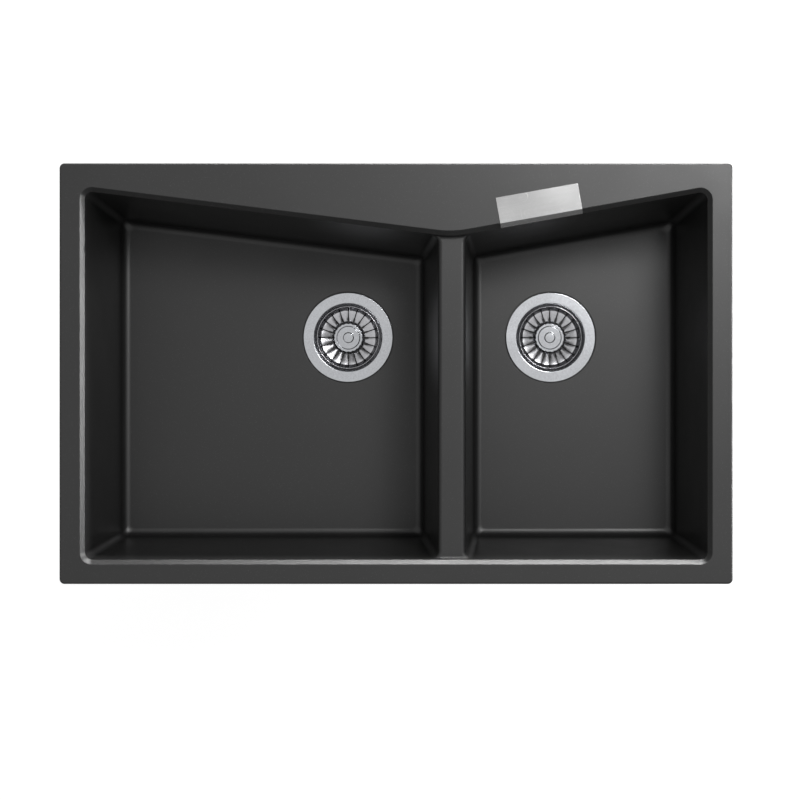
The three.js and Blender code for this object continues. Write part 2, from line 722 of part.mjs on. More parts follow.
function wasteBody() {
  const flangeBottom = bodyTop - BODY_FLANGE_THICKNESS;
  const bodyOuter = bodyInner + BODY_WALL;
  const profile = [
    [bodyInner, bodyTop],
    [bodyInner, -BODY_CUP_DEPTH],
    [TAIL_BORE, bodyConeBottom],
    [TAIL_BORE, tailEnd],
    [TAIL_RADIUS, tailEnd],
    [TAIL_RADIUS, bodyConeBottom],
    [bodyOuter, -BODY_CUP_DEPTH],
    [bodyOuter, flangeBottom],
    [BODY_FLANGE_RADIUS, flangeBottom],
    [BODY_FLANGE_RADIUS, bodyTop],
    [bodyInner, bodyTop],
  ];
  const reach = bodyInner + BODY_WALL / 2;
  const nutPocketBottom = bodyHubBottom - THROUGH;
  const nutPocketTop = bodyHubBottom + NUT_HEIGHT + GAP;
  return turned(profile, HIDDEN_SIDES)
    .add(spider(reach, SPIDER_ARMS, BODY_RIB_WIDTH, bodyHubBottom, bodyHubTop))
    .add(cylinder(BODY_HUB_RADIUS, bodyHubBottom, bodyHubTop, SMALL_SIDES))
    .subtract(cylinder(BOLT_RADIUS + GAP, bodyHubBottom - THROUGH, 0, SMALL_SIDES))
    .subtract(cylinder(NUT_RADIUS + GAP, nutPocketBottom, nutPocketTop, NUT_SIDES));
}

const boltHeadBottom = -CUP_DEPTH + SPIDER_THICKNESS + GAP;
const boltHeadTop = boltHeadBottom + BOLT_HEAD_HEIGHT;

function centreBolt() {
  const shank = cylinder(BOLT_RADIUS, bodyHubBottom, boltHeadTop, SMALL_SIDES);
  const head = cylinder(BOLT_HEAD_RADIUS, boltHeadBottom, boltHeadTop, SMALL_SIDES);
  const socketBottom = boltHeadTop - BOLT_SOCKET_DEPTH;
  const socket = cylinder(BOLT_SOCKET_RADIUS, socketBottom, boltHeadTop + THROUGH, SMALL_SIDES);
  return shank.add(head).subtract(socket);
}

function boltNut() {
  const hole = cylinder(BOLT_RADIUS + GAP, bodyHubBottom - THROUGH, 0, SMALL_SIDES);
  return cylinder(NUT_RADIUS, bodyHubBottom, bodyHubBottom + NUT_HEIGHT, NUT_SIDES).subtract(hole);
}

// ---------------------------------------------------------------- strainer basket

const basketRimOuter = CUP_RADIUS - BASKET_RIM_CLEARANCE;
const basketWallTop = basketRimOuter - 2 * BASKET_RIM_ROLL;
const basketFloorTop = -BASKET_FLOOR_DEPTH;
const basketUnderside = basketFloorTop - BASKET_SHEET;
const stemTop = basketUnderside - GAP;

function basket() {
  const rimTopZ = -BASKET_RIM_TOP;
  const rollZ = rimTopZ - BASKET_RIM_ROLL;
  const profile = [[basketWallTop, rollZ]];
  for (let i = 1; i < FILLET_STEPS; i++) {
    const angle = Math.PI * (1 - i / FILLET_STEPS);
    const middle = basketRimOuter - BASKET_RIM_ROLL;
    const radius = middle + BASKET_RIM_ROLL * Math.cos(angle);
    profile.push([radius, rollZ + BASKET_RIM_ROLL * Math.sin(angle)]);
  }
  const shoulderOuter = BASKET_SHOULDER_RADIUS + BASKET_SHEET;
  profile.push(
    [basketRimOuter, rollZ],
    [basketRimOuter, rollZ - BASKET_RIM_ROLL],
    [basketWallTop + BASKET_SHEET, rollZ - BASKET_RIM_ROLL],
    [shoulderOuter, -BASKET_SHOULDER_DEPTH - BASKET_SHEET / 2],
    [BASKET_FLOOR_RADIUS + BASKET_SHEET / 2, basketUnderside],
    [CAP_POST_RADIUS + GAP, basketUnderside],
    [CAP_POST_RADIUS + GAP, basketFloorTop],
    [BASKET_FLOOR_RADIUS, basketFloorTop],
    [BASKET_SHOULDER_RADIUS, -BASKET_SHOULDER_DEPTH],
    [basketWallTop, rollZ],
  );
  let dish = turned(profile, BASKET_SIDES);
  const slotTop = rollZ - 2 * BASKET_RIM_ROLL;
  const slotBottom = basketUnderside - THROUGH;
  for (let i = 0; i < SLOT_COUNT; i++) {
    dish = dish.subtract(basketSlot(i, slotBottom, slotTop));
  }
  return dish;
}

// The first slot points to the back of the sink.
function basketSlot(index, bottom, top) {
  const length = SLOT_OUTER_RADIUS - SLOT_INNER_RADIUS;
  const geometry = new THREE.BoxGeometry(length, SLOT_WIDTH, top - bottom);
  geometry.translate((SLOT_OUTER_RADIUS + SLOT_INNER_RADIUS) / 2, 0, (top + bottom) / 2);
  geometry.rotateZ(Math.PI / 2 + (2 * Math.PI * index) / SLOT_COUNT);
  return solid(geometry);
}

const capTop = -CAP_TOP_DEPTH;
const capBottom = capTop - CAP_THICKNESS;

function basketCap() {
  const postEnd = stemTop - CAP_POST_LENGTH;
  const grooveZ = capTop - CAP_RING_HEIGHT;
  return turned([
    [0, postEnd],
    [CAP_POST_RADIUS, postEnd],
    [CAP_POST_RADIUS, basketFloorTop + GAP],
    [CAP_NECK_RADIUS, basketFloorTop + GAP],
    [CAP_NECK_RADIUS, capBottom],
    [CAP_RADIUS - CAP_THICKNESS / 2, capBottom],
    [CAP_RADIUS, capTop - CAP_THICKNESS / 2],
    [CAP_RADIUS - CAP_THICKNESS / 3, grooveZ],
    [CAP_RING_RADIUS + CAP_RING_HEIGHT, grooveZ],
    [CAP_RING_RADIUS, capTop],
    [CAP_RING_RADIUS - CAP_RING_HEIGHT, grooveZ],
    [CAP_BUTTON_RADIUS + CAP_RING_HEIGHT, grooveZ],
    [CAP_BUTTON_RADIUS, capTop],
    [0, capTop],
  ], ROUND_SIDES);
}

const stemPlateBottom = stemTop - STEM_PLATE_THICKNESS;
const stopperSealRadius = SEAT_RADIUS - STOPPER_SEAL_CLEARANCE;
const stopperSealBottom = -SEAT_DEPTH + GAP;
const stopperSealTop = stopperSealBottom + STOPPER_SEAL_THICKNESS;

// The stem carries the basket and the seal, and stands in the bolt head's socket.
function stopperStem() {
  const pinEnd = boltHeadTop - BOLT_SOCKET_DEPTH + GAP;
  const hubBottom = boltHeadTop + GAP;
  const sealTop = stopperSealTop + GAP;
  const sealInner = stopperSealRadius - STOPPER_SEAL_GRIP - GAP;
  const socketFloor = stemTop - CAP_POST_LENGTH - GAP;
  const profile = [
    [0, pinEnd],
    [BOLT_SOCKET_RADIUS - GAP, pinEnd],
    [BOLT_SOCKET_RADIUS - GAP, hubBottom],
    [STEM_HUB_RADIUS, hubBottom],
    [STEM_HUB_RADIUS, stemPlateBottom],
    [sealInner - STOPPER_SEAL_GRIP, stemPlateBottom],
    [sealInner - STOPPER_SEAL_GRIP, stopperSealBottom],
    [sealInner, stopperSealBottom],
    [sealInner, sealTop],
    [STEM_PLATE_RADIUS + STOPPER_SEAL_GRIP, sealTop],
    [STEM_PLATE_RADIUS + STOPPER_SEAL_GRIP, stemPlateBottom],
    [STEM_PLATE_RADIUS, stemTop],
    [CAP_POST_RADIUS + GAP, stemTop],
    [CAP_POST_RADIUS + GAP, socketFloor],
    [0, socketFloor],
  ];
  return turned(profile, HIDDEN_SIDES);
}

function stopperSeal() {
  const inner = stopperSealRadius - STOPPER_SEAL_GRIP;
  return ring(stopperSealRadius, inner, stopperSealBottom, stopperSealTop, HIDDEN_SIDES);
}

// ---------------------------------------------------------------- clip pieces

const armTop = -TOE_BELOW_WORKTOP - ARM_TOE_HEIGHT + ARM_SHEET;
const armBottom = armTop - ARM_SHEET;
const screwHeadTop = armBottom - GAP;

function clipInsert() {
  const bore = cylinder(SCREW_RADIUS + GAP, insertBottom - THROUGH, THROUGH, SMALL_SIDES);
  return cylinder(INSERT_RADIUS, insertBottom, insertTop, SMALL_SIDES).subtract(bore);
}

function clipScrew() {
  const headBottom = screwHeadTop - SCREW_HEAD_HEIGHT;
  const crown = SCREW_HEAD_HEIGHT / 2;
  const screw = turned([
    [0, headBottom],
    [SCREW_HEAD_RADIUS - crown, headBottom],
    [SCREW_HEAD_RADIUS, headBottom + crown],
    [SCREW_HEAD_RADIUS, screwHeadTop],
    [SCREW_RADIUS, screwHeadTop],
    [SCREW_RADIUS, screwTop],
    [0, screwTop],
  ], SMALL_SIDES);
  const half = SCREW_SLOT_WIDTH / 2;
  const slotTop = headBottom + crown;
  return screw.subtract(block(
    vector(-SCREW_HEAD_RADIUS, -half, headBottom - THROUGH),
    vector(SCREW_HEAD_RADIUS, half, slotTop),
  ));
}

// Made with its toe along +X, the screw at the origin.
function clipArm() {
  const half = ARM_WIDTH / 2;
  const outline = new THREE.Shape();
  outline.moveTo(ARM_LENGTH, -half);
  outline.lineTo(ARM_LENGTH, half);
  outline.lineTo(0, half);
  outline.absarc(0, 0, half, Math.PI / 2, (3 * Math.PI) / 2, false);
  const curveSegments = SMALL_SIDES / 2;
  const options = { depth: ARM_SHEET, bevelEnabled: false, curveSegments };
  const strip = new THREE.ExtrudeGeometry(outline, options).translate(0, 0, armBottom);
  const toe = block(
    vector(ARM_LENGTH - ARM_SHEET, -half, armBottom + ARM_SHEET / 2),
    vector(ARM_LENGTH, half, armBottom + ARM_TOE_HEIGHT),
  );
  const hole = cylinder(SCREW_RADIUS + GAP, armBottom - THROUGH, armTop + THROUGH, SMALL_SIDES);
  return solid(strip).add(toe).subtract(hole);
}

// ---------------------------------------------------------------- materials

function material(color, roughness, metalness) {
  return () => new THREE.MeshStandardMaterial({ color, roughness, metalness });
}

const composite = material(0x3c3c3d, 0.55, 0);
const brushedSteel = material(0xc4c4c8, 0.35, 1);
const polishedSteel = material(0xb9babd, 0.2, 1);
const zincSteel = material(0xa3a8ab, 0.4, 1);
const brass = material(0xb5975a, 0.35, 1);
const blackPlastic = material(0x1b1b1c, 0.6, 0);
const rubber = material(0x202020, 0.85, 0);

// ---------------------------------------------------------------- assembly

const sink = new THREE.Group();

function piece(name, manifold, makeMaterial) {
  const mesh = new THREE.Mesh(geometryOf(manifold), makeMaterial());
  mesh.name = name;
  return mesh;
}

sink.add(piece('sink_body', sinkBody(), composite));
sink.add(piece('rim_seal', rimSeal(), rubber));

const badge = piece('badge_plate', badgePlate(), brushedSteel);
badge.position.set(DIVIDER_X, noseY, 0);
badge.rotation.z = rightBackEdge;
sink.add(badge);

for (const { name, x, y } of WASTES) {
  const waste = new THREE.Group();
  waste.position.set(x, y, bowlFloor);
  waste.add(piece(`${name}_flange_cup`, flangeCup(), brushedSteel));
  waste.add(piece(`${name}_flange_gasket`, flangeGasket(), rubber));
  waste.add(piece(`${name}_lower_seal`, lowerSeal(), rubber));
  waste.add(piece(`${name}_waste_body`, wasteBody(), blackPlastic));
  waste.add(piece(`${name}_centre_bolt`, centreBolt(), polishedSteel));
  waste.add(piece(`${name}_bolt_nut`, boltNut(), brass));
  waste.add(piece(`${name}_basket`, basket(), polishedSteel));
  waste.add(piece(`${name}_basket_cap`, basketCap(), brushedSteel));
  waste.add(piece(`${name}_stopper_stem`, stopperStem(), blackPlastic));
  waste.add(piece(`${name}_stopper_seal`, stopperSeal(), rubber));
  sink.add(waste);
}

for (const { name, x, y, outward } of CLIPS) {
  const clip = new THREE.Group();
  clip.position.set(x, y, 0);
  clip.add(piece(`${name}_insert`, clipInsert(), brass));
  clip.add(piece(`${name}_screw`, clipScrew(), zincSteel));
  const arm = piece(`${name}_arm`, clipArm(), zincSteel);
  arm.rotation.z = outward + Math.PI / 2; // stowed along the rim, inside the cut-out
  clip.add(arm);
  sink.add(clip);
}

export default sink;
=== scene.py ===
from math import asin, atan2, copysign, cos, degrees, pi, radians, sin, sqrt, tan

import bmesh
import bpy
from mathutils import Matrix, Vector


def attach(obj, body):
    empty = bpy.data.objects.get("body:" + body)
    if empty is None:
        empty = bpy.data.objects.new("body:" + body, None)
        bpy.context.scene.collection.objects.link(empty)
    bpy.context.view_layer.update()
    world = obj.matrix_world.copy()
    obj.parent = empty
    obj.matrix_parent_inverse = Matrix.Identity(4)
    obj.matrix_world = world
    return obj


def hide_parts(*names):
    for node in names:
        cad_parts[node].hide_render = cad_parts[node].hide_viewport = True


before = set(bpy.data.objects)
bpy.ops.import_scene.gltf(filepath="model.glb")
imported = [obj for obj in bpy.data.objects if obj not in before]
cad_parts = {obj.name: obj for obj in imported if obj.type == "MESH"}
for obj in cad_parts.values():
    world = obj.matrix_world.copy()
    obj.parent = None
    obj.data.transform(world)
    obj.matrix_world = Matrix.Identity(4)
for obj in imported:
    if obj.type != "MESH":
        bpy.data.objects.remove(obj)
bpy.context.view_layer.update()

# Double bowl composite kitchen sink. Sizes are in millimetres in the part's own frame:
# origin in the middle of the rim's underside, +Y to the tap deck, +Z up.

MM = 0.001
GAP = 0.3
THROUGH = 2.0  # how far a cutter reaches past what it cuts

# ---- camera

camera = bpy.data.objects.new("photo_camera", bpy.data.cameras.new("photo_camera"))
camera.data.sensor_width, camera.data.lens, camera.data.clip_end = 36, 99.95, 50
camera.location = (0.0046, -0.0313, 2.646)
bpy.context.scene.collection.objects.link(camera)
bpy.context.scene.camera = camera
bpy.context.scene.view_settings.view_transform = "Standard"

# ---- sink sizes

RIM_LENGTH, RIM_DEPTH, RIM_THICKNESS = 800.0, 500.0, 9.0
RIM_CORNER_RADIUS, RIM_EDGE_ROUND, RIM_UNDER_ROUND = 6.0, 2.5, 0.8
LAND_SIDE, LAND_FRONT, LAND_BACK_CORNER, DECK_AT_NOSE = 23.6, 22.8, 25.8, 80.9
NOSE_RADIUS = 120.0
CUTOUT_LANDING = 10.0
BOWL_DEPTH, WALL = 200.0, 9.0
DRAFT = radians(4.9)
OPENING_BEVEL, BEVEL_TOP_EASE, BEVEL_FOOT_EASE = 6.0, 1.2, 0.8
LEFT_WALL_LEAN = 4.6
OPENING_CORNER_RADIUS, WALL_CORNER_RADIUS, FLOOR_CORNER_RADIUS = 15.0, 9.0, 6.0
FLOOR_ROUND = 11.0
DIVIDER_X, DIVIDER_TOP_WIDTH, DIVIDER_DROP = 66.6, 22.9, 16.0
DIVIDER_EDGE_ROUND, DIVIDER_END_FILLET, DIVIDER_WEB_WIDTH = 5.4, 3.0, 40.0
END_FILLET_REACH, END_FILLET_LEAST = 0.88, 0.05
END_FILLET_BEHIND, END_FILLET_BELOW = -1.5, -1.0  # how deep it is sunk into wall and divider
SEAL_WIDTH, SEAL_THICKNESS, SEAL_INSET = 6.0, 2.0, 5.0
KNOCKOUT_RADIUS, KNOCKOUT_SKIN = 17.5, 3.0
KNOCKOUT_BOSS_RADIUS, KNOCKOUT_BOSS_HEIGHT = 26.0, 5.0
TAP_FROM_BACK, CONTROL_FROM_TAP = 40.0, 90.0

BADGE_LENGTH, BADGE_DEPTH, BADGE_THICKNESS = 99.0, 32.0, 0.8
BADGE_FROM_NOSE, BADGE_LIP_LENGTH = 57.7, 7.0
BADGE_FOLD_ROUND, BADGE_FOLD_INSIDE, BADGE_EDGE_ROUND = 0.5, 0.1, 0.15

RIM_TOP = RIM_THICKNESS
BOWL_FLOOR = RIM_TOP - BOWL_DEPTH
TUB_UNDERSIDE = BOWL_FLOOR - WALL
DIVIDER_TOP = RIM_TOP - DIVIDER_DROP

# ---- waste sizes

WASTES = {"left": (-61.7, 48.7), "right": (196.9, 48.7)}
DRAIN_HOLE_RADIUS, DRAIN_LIP = 45.5, 0.5
FLANGE_RADIUS, FLANGE_THICKNESS, FLANGE_EDGE_ROUND = 57.0, 1.2, 1.6
FLANGE_RECESS_CLEARANCE = 1.0
GASKET_THICKNESS, GASKET_WIDTH = 1.0, 9.0
CUP_RADIUS, CUP_SHEET, CUP_WALL_DEPTH, CUP_DEPTH = 43.0, 1.0, 27.0, 40.0
SEAT_RADIUS, SEAT_DEPTH, SEAT_WIDTH = 33.0, 34.0, 3.0
SPIDER_WIDTH, SPIDER_THICKNESS, SPIDER_HUB_RADIUS = 4.0, 3.0, 8.0
LOWER_SEAL_THICKNESS = 3.0
BODY_FLANGE_RADIUS, BODY_FLANGE_THICKNESS, BODY_WALL = 56.0, 4.0, 2.6
BODY_CUP_DEPTH, BODY_CONE_HEIGHT = 58.0, 12.0
TAIL_RADIUS, TAIL_BORE, TAIL_LENGTH = 23.9, 20.0, 25.0
TAIL_PITCH, TAIL_RIDGE, TAIL_COLLAR = 2.309, 0.9, 4.0
BODY_HUB_RADIUS, BODY_HUB_HEIGHT, BODY_RIB_WIDTH = 9.0, 9.0, 4.0
BOLT_RADIUS, BOLT_HEAD_RADIUS, BOLT_HEAD_HEIGHT, BOLT_PITCH = 3.0, 6.5, 5.0, 1.0
BOLT_RIDGE, BOLT_SOCKET_RADIUS, BOLT_SOCKET_DEPTH, THREAD_START = 0.45, 2.6, 4.0, 0.2
NUT_RADIUS, NUT_HEIGHT, NUT_SIDES = 5.6, 6.0, 6
BASKET_SHEET = 1.0
BASKET_RIM_TOP, BASKET_BEAD, BASKET_RIM_CLEARANCE = 3.0, 0.45, 0.6
BASKET_SKIRT_DROP, BASKET_SKIRT_SHEET, BASKET_SKIRT_EDGE = 1.8, 0.7, 0.4
BASKET_SHOULDER_RADIUS, BASKET_SHOULDER_DEPTH, BASKET_WALL_TOP = 35.0, 15.7, 39.0
BASKET_FLOOR_RADIUS, BASKET_FLOOR_DEPTH, BASKET_FLOOR_BLEND = 17.0, 22.0, 2.0
BASKET_SHOULDER_ROUND, BASKET_SHOULDER_STEPS = 1.2, 5
SLOT_COUNT, SLOT_WIDTH, SLOT_INNER_RADIUS, SLOT_OUTER_RADIUS = 20, 2.2, 19.5, 37.9
SLOT_WAIST_RADIUS, SLOT_NARROW_RADIUS, SLOT_NARROW_WIDTH = 24.0, 27.0, 1.3
# Radii of the basket's rows, those at the slots' ends measured from there.
PLAIN_ROWS, SLOT_START_ROWS = (7, 11, 14, 16, 17.5, 18.7), (0, 0.1, 0.35, 0.7, 1.1)
CONE_ROWS = (22, SLOT_WAIST_RADIUS, 25, 26, SLOT_NARROW_RADIUS, 30, 33)
WALL_ROW, SLOT_END_ROWS = 36.3, (0.9, 0.6, 0.3, 0.1, 0)
PETAL_CROWN, PETAL_CROWN_EDGE = 0.5, 1.5
CAP_RADIUS, CAP_THICKNESS, CAP_TOP_DEPTH = 18.5, 2.4, 14.0
CAP_RING_RADIUS, CAP_BUTTON_RADIUS, CAP_STEP, CAP_FALL = 14.7, 6.4, 0.75, 0.65
CAP_NECK_RADIUS, CAP_POST_RADIUS, CAP_POST_LENGTH = 7.0, 3.0, 4.0
CAP_SCALLOP, CAP_SCALLOP_POWER = 0.9, 0.6
STEM_PLATE_RADIUS, STEM_PLATE_THICKNESS, STEM_HUB_RADIUS = 27.0, 2.4, 6.0
STOPPER_SEAL_CLEARANCE, STOPPER_SEAL_THICKNESS, STOPPER_SEAL_GRIP = 0.6, 3.0, 4.0

# ---- rim clip sizes

CLIP_FRONT_X, CLIP_BACK_X, CLIP_SIDE_Y = (-270.0, 0.0, 270.0), (-300.0, -110.0, 290.0), 0.0
CLIP_EDGE_CLEARANCE = 0.5
CLIP_BOSS_RADIUS, CLIP_BOSS_HEIGHT, BOSS_ROUND = 5.5, 16.0, 0.8
INSERT_RADIUS, INSERT_LENGTH, INSERT_DEPTH = 3.6, 10.0, 2.0
INSERT_KNURL, INSERT_RIDGES = 0.12, 24
SCREW_RADIUS, SCREW_HEAD_RADIUS, SCREW_HEAD_HEIGHT = 2.5, 4.7, 3.2
SCREW_SLOT_WIDTH, SCREW_ENGAGEMENT, SCREW_PITCH, SCREW_RIDGE = 1.2, 4.0, 0.8, 0.4
CLIP_TRAVEL = 14.0
ARM_LENGTH, ARM_WIDTH, ARM_SHEET, ARM_TOE_HEIGHT = 34.0, 10.0, 2.0, 8.0
TOE_BELOW_WORKTOP, ARM_EDGE_ROUND = 42.0, 0.25

# ---- facets

CORNER_STEPS, NOSE_STEPS, FILLET_STEPS, EDGE_STEPS = 12, 20, 12, 8
ROUND_SIDES, HIDDEN_SIDES, SMALL_SIDES, CAP_SIDES, KNURL_SIDES = 160, 96, 48, 240, 192
PETAL_COLUMNS, END_FILLET_RINGS, ARM_END_STEPS = 8, 40, 24

# ---- outlines


def cross(a, b):
    return a.x * b.y - a.y * b.x


def corner_arc(before, corner, after, radius, steps):
    """The points of a rounded corner, from the edge that comes in to the one that goes out."""
    if radius == 0:
        return [corner.copy()]
    incoming, outgoing = (corner - before).normalized(), (after - corner).normalized()
    turn = atan2(cross(incoming, outgoing), incoming.dot(outgoing))
    start = corner - incoming * radius * tan(abs(turn) / 2)
    side = Vector((-incoming.y, incoming.x)) * copysign(1, turn)
    centre = start + side * radius
    spoke = start - centre
    return [centre + Matrix.Rotation(turn * i / steps, 2) @ spoke for i in range(steps + 1)]


def rounded_outline(points, radii, steps):
    outline = []
    for i, corner in enumerate(points):
        after = points[(i + 1) % len(points)]
        outline += corner_arc(points[i - 1], corner, after, radii[i], steps[i])
    return outline


def rounded_profile(corners, steps=4):
    """A profile from corners of (radius, z) or (radius, z, rounding)."""
    points = [Vector(corner[:2]) for corner in corners]
    radii = [corner[2] if len(corner) > 2 else 0 for corner in corners]
    return [tuple(p) for p in rounded_outline(points, radii, [steps] * len(corners))]


def inset_polygon(points, distance):
    """A polygon with every edge moved inward by a distance."""
    edges = []
    for i, point in enumerate(points):
        direction = (points[(i + 1) % len(points)] - point).normalized()
        edges.append((point + Vector((-direction.y, direction.x)) * distance, direction))
    corners = []
    for i, (origin, direction) in enumerate(edges):
        other, slope = edges[i - 1]
        corners.append(origin + direction * (cross(other - origin, slope) / cross(direction, slope)))
    return corners


SQUARE = ((-1, -1), (1, -1), (1, 1), (-1, 1))


def circle(radius, sides, x=0.0, y=0.0):
    turn = 2 * pi / sides
    return [Vector((x + radius * cos(turn * i), y + radius * sin(turn * i))) for i in range(sides)]


def cross_outline(reach, half):
    """Four arms from the axis, in plan."""
    arm = [Vector((half, -half)), Vector((reach, -half)), Vector((reach, half))]
    return [Matrix.Rotation(quarter * pi / 2, 2) @ point for quarter in range(4) for point in arm]


def arc(centre, radius, start, end, steps):
    """Points on an arc, its angles in degrees from the first axis."""
    angles = [radians(start + (end - start) * i / steps) for i in range(steps + 1)]
    return [(centre[0] + radius * cos(angle), centre[1] + radius * sin(angle)) for angle in angles]


# ---- meshes


def add_object(data):
    made = bpy.data.objects.new(data.name, data)
    bpy.context.scene.collection.objects.link(made)
    return made


def face_outwards(piece):
    shape = bmesh.new()
    shape.from_mesh(piece.data)
    bmesh.ops.recalc_face_normals(shape, faces=shape.faces)
    shape.to_mesh(piece.data)
    shape.free()
    return piece


def new_piece(vertices, faces):
    """A piece from vertices in millimetres."""
    mesh = bpy.data.meshes.new("shape")
    mesh.from_pydata([Vector(vertex) * MM for vertex in vertices], [], faces)
    return face_outwards(add_object(mesh))


def through_rings(rings):
    """A closed solid through rings of 3-D points, capped at both ends."""
    count = len(rings[0])
    faces = [list(range(count)), [(len(rings) - 1) * count + i for i in range(count)]]
    for level in range(len(rings) - 1):
        for i in range(count):
            a, b = level * count + i, level * count + (i + 1) % count
            faces.append([a, b, b + count, a + count])
    return new_piece([vertex for ring in rings for vertex in ring], faces)


def loft(levels):
    """A closed solid through levels of (outline, z)."""
    return through_rings([[(p.x, p.y, z) for p in outline] for outline, z in levels])


def prism(outline, bottom, top):
    return loft([(outline, bottom), (outline, top)])


def eased_prism(outline, bottom, top, ease):
    """A prism with its end edges chamfered."""
    small = inset_polygon(outline, ease)
    return loft([(small, bottom), (outline, bottom + ease), (outline, top - ease), (small, top)])


def cylinder(radius, bottom, top, sides, x=0.0, y=0.0):
    return prism(circle(radius, sides, x, y), bottom, top)


def along_x(section, low, high):
    """A closed section in (y, z), drawn out along X."""
    return through_rings([[(x, y, z) for y, z in section] for x in (low, high)])


def block(low, high):
    section = [(low[1], low[2]), (high[1], low[2]), (high[1], high[2]), (low[1], high[2])]
    return along_x(section, low[0], high[0])


def turned(profile, sides, reshape=None):
    """A solid turned about Z from a profile of (radius, z), closed or from axis to axis.
    reshape(radius, angle) may change the radius round the turn."""
    vertices, faces, rows = [], [], []
    turn = 2 * pi / sides
    for radius, z in profile:
        count = sides if radius > 0 else 1
        rows.append([len(vertices) + i % count for i in range(sides)])
        for i in range(count):
            reach = reshape(radius, turn * i) if reshape and radius else radius
            vertices.append((reach * cos(turn * i), reach * sin(turn * i), z))
    is_ring = profile[0][0] > 0
    for low, high in zip(rows, rows[1:] + rows[:1] if is_ring else rows[1:]):
        for i in range(sides):
            j = (i + 1) % sides
            faces.append(list(dict.fromkeys([low[i], low[j], high[j], high[i]])))
    return new_piece(vertices, faces)


def lathe(corners, sides, steps=4, reshape=None):
    """A turned solid from corners of (radius, z) or (radius, z, rounding)."""
    return turned(rounded_profile(corners, steps), sides, reshape)


def turned_ring(outer, inner, bottom, top, rounding, sides):
    corners = [(inner, bottom), (outer, bottom), (outer, top), (inner, top)]
    return lathe([(*corner, rounding) for corner in corners], sides)


def settle(piece):
    """Turns a piece's modifiers into its plain mesh."""
    bpy.context.view_layer.update()
    evaluated = piece.evaluated_get(bpy.context.evaluated_depsgraph_get())
    made = bpy.data.meshes.new_from_object(evaluated)
    piece.modifiers.clear()
    old = piece.data
    piece.data = made
    bpy.data.meshes.remove(old)
    made.name = piece.name
    return piece


def modify(piece, kind, **settings):
    """Runs one modifier on a piece."""
    modifier = piece.modifiers.new(kind.lower(), kind)
    for key, value in settings.items():
        setattr(modifier, key, value)
    return settle(piece)


def discard(piece):
    mesh = piece.data
    bpy.data.objects.remove(piece)
    bpy.data.meshes.remove(mesh)


def gather(pieces):
    """One piece from several, their shells side by side."""
    first, *others = pieces
    shape = bmesh.new()
    for piece in pieces:
        shape.from_mesh(piece.data)
    shape.to_mesh(first.data)
    shape.free()
    for other in others:
        discard(other)
    return first


def combine(piece, others, operation):
    for other in others:
        modify(piece, "BOOLEAN", operation=operation, solver="MANIFOLD", object=other)
        discard(other)
    return piece


def join(piece, *others):
    return combine(piece, others, "UNION")


def cut(piece, *others):
    return combine(piece, others, "DIFFERENCE")


def drilled(piece, radius, bottom, top):
    return cut(piece, cylinder(radius, bottom, top, SMALL_SIDES))


def place(piece, x=0.0, y=0.0, z=0.0, turn=0.0):
    """Turns the mesh about Z, then moves it by millimetres. The object stays put."""
    shift = Matrix.Translation(Vector((x, y, z)) * MM)
    piece.data.transform(shift @ Matrix.Rotation(turn, 4, "Z"))
    return piece


def smooth(piece, crisp_angle=35):
    """Smooth shading that keeps crisp edges, and flats flat beside their rounds."""
    piece.data.shade_smooth()
    piece.data.set_sharp_from_angle(angle=radians(crisp_angle))
    return modify(piece, "WEIGHTED_NORMAL", keep_sharp=True, weight=100)


def soften(piece, width, angle):
    """Rounds the edges that are sharper than an angle."""
    limit = {"limit_method": "ANGLE", "angle_limit": radians(angle)}
    return modify(piece, "BEVEL", width=width * MM, segments=2, **limit)


# ---- node trees


def add_node(tree, kind, links=None, **settings):
    node = tree.nodes.new(kind)
    for key, value in settings.items():
        setattr(node, key, value)
    for key, source in (links or {}).items():
        if isinstance(source, bpy.types.NodeSocket):
            tree.links.new(source, node.inputs[key])
        else:
            node.inputs[key].default_value = source
    return node


def output_of(tree, kind, links=None, **settings):
    """The first output of a new node."""
    return add_node(tree, kind, links, **settings).outputs[0]


def calculate(tree, operation, *values):
    return output_of(tree, "ShaderNodeMath", dict(enumerate(values)), operation=operation)


def on_vectors(tree, operation, *values):
    return output_of(tree, "ShaderNodeVectorMath", dict(enumerate(values)), operation=operation)


def noise(tree, vector, scale, **links):
    return output_of(tree, "ShaderNodeTexNoise", {"Vector": vector, "Scale": scale, **links})


def map_range(tree, value, span, target, **settings):
    """A value whose span (low, high) is laid on a target (low, high)."""
    labels = ("Value", "From Min", "From Max", "To Min", "To Max")
    links = dict(zip(labels, (value, *span, *target)))
    return output_of(tree, "ShaderNodeMapRange", links, **settings)


def new_tree(name, kind, inputs, outputs):
    """A node group with inputs of {name: default or type} and outputs of {name: type}."""
    tree = bpy.data.node_groups.new(name, kind)
    for label, given in inputs.items():
        value_type = {float: "Float", int: "Int"}.get(type(given), given)
        socket_type = "NodeSocket" + value_type
        socket = tree.interface.new_socket(label, in_out="INPUT", socket_type=socket_type)
        if value_type != given:
            socket.default_value = given
    for label, value_type in outputs.items():
        socket_type = "NodeSocket" + value_type
        tree.interface.new_socket(label, in_out="OUTPUT", socket_type=socket_type)
    start, end = tree.nodes.new("NodeGroupInput"), tree.nodes.new("NodeGroupOutput")
    return tree, start.outputs, end.inputs


def geometry_tree(name, inputs):
    inputs = {"Geometry": "Geometry", **inputs, "Material": "Material"}
    return new_tree(name, "GeometryNodeTree", inputs, {"Geometry": "Geometry"})


def finish_geometry(tree, geometry, material, result):
    real = output_of(tree, "GeometryNodeRealizeInstances", {"Geometry": geometry})
    links = {"Geometry": real, "Material": material}
    tree.links.new(output_of(tree, "GeometryNodeSetMaterial", links), result["Geometry"])
    return tree


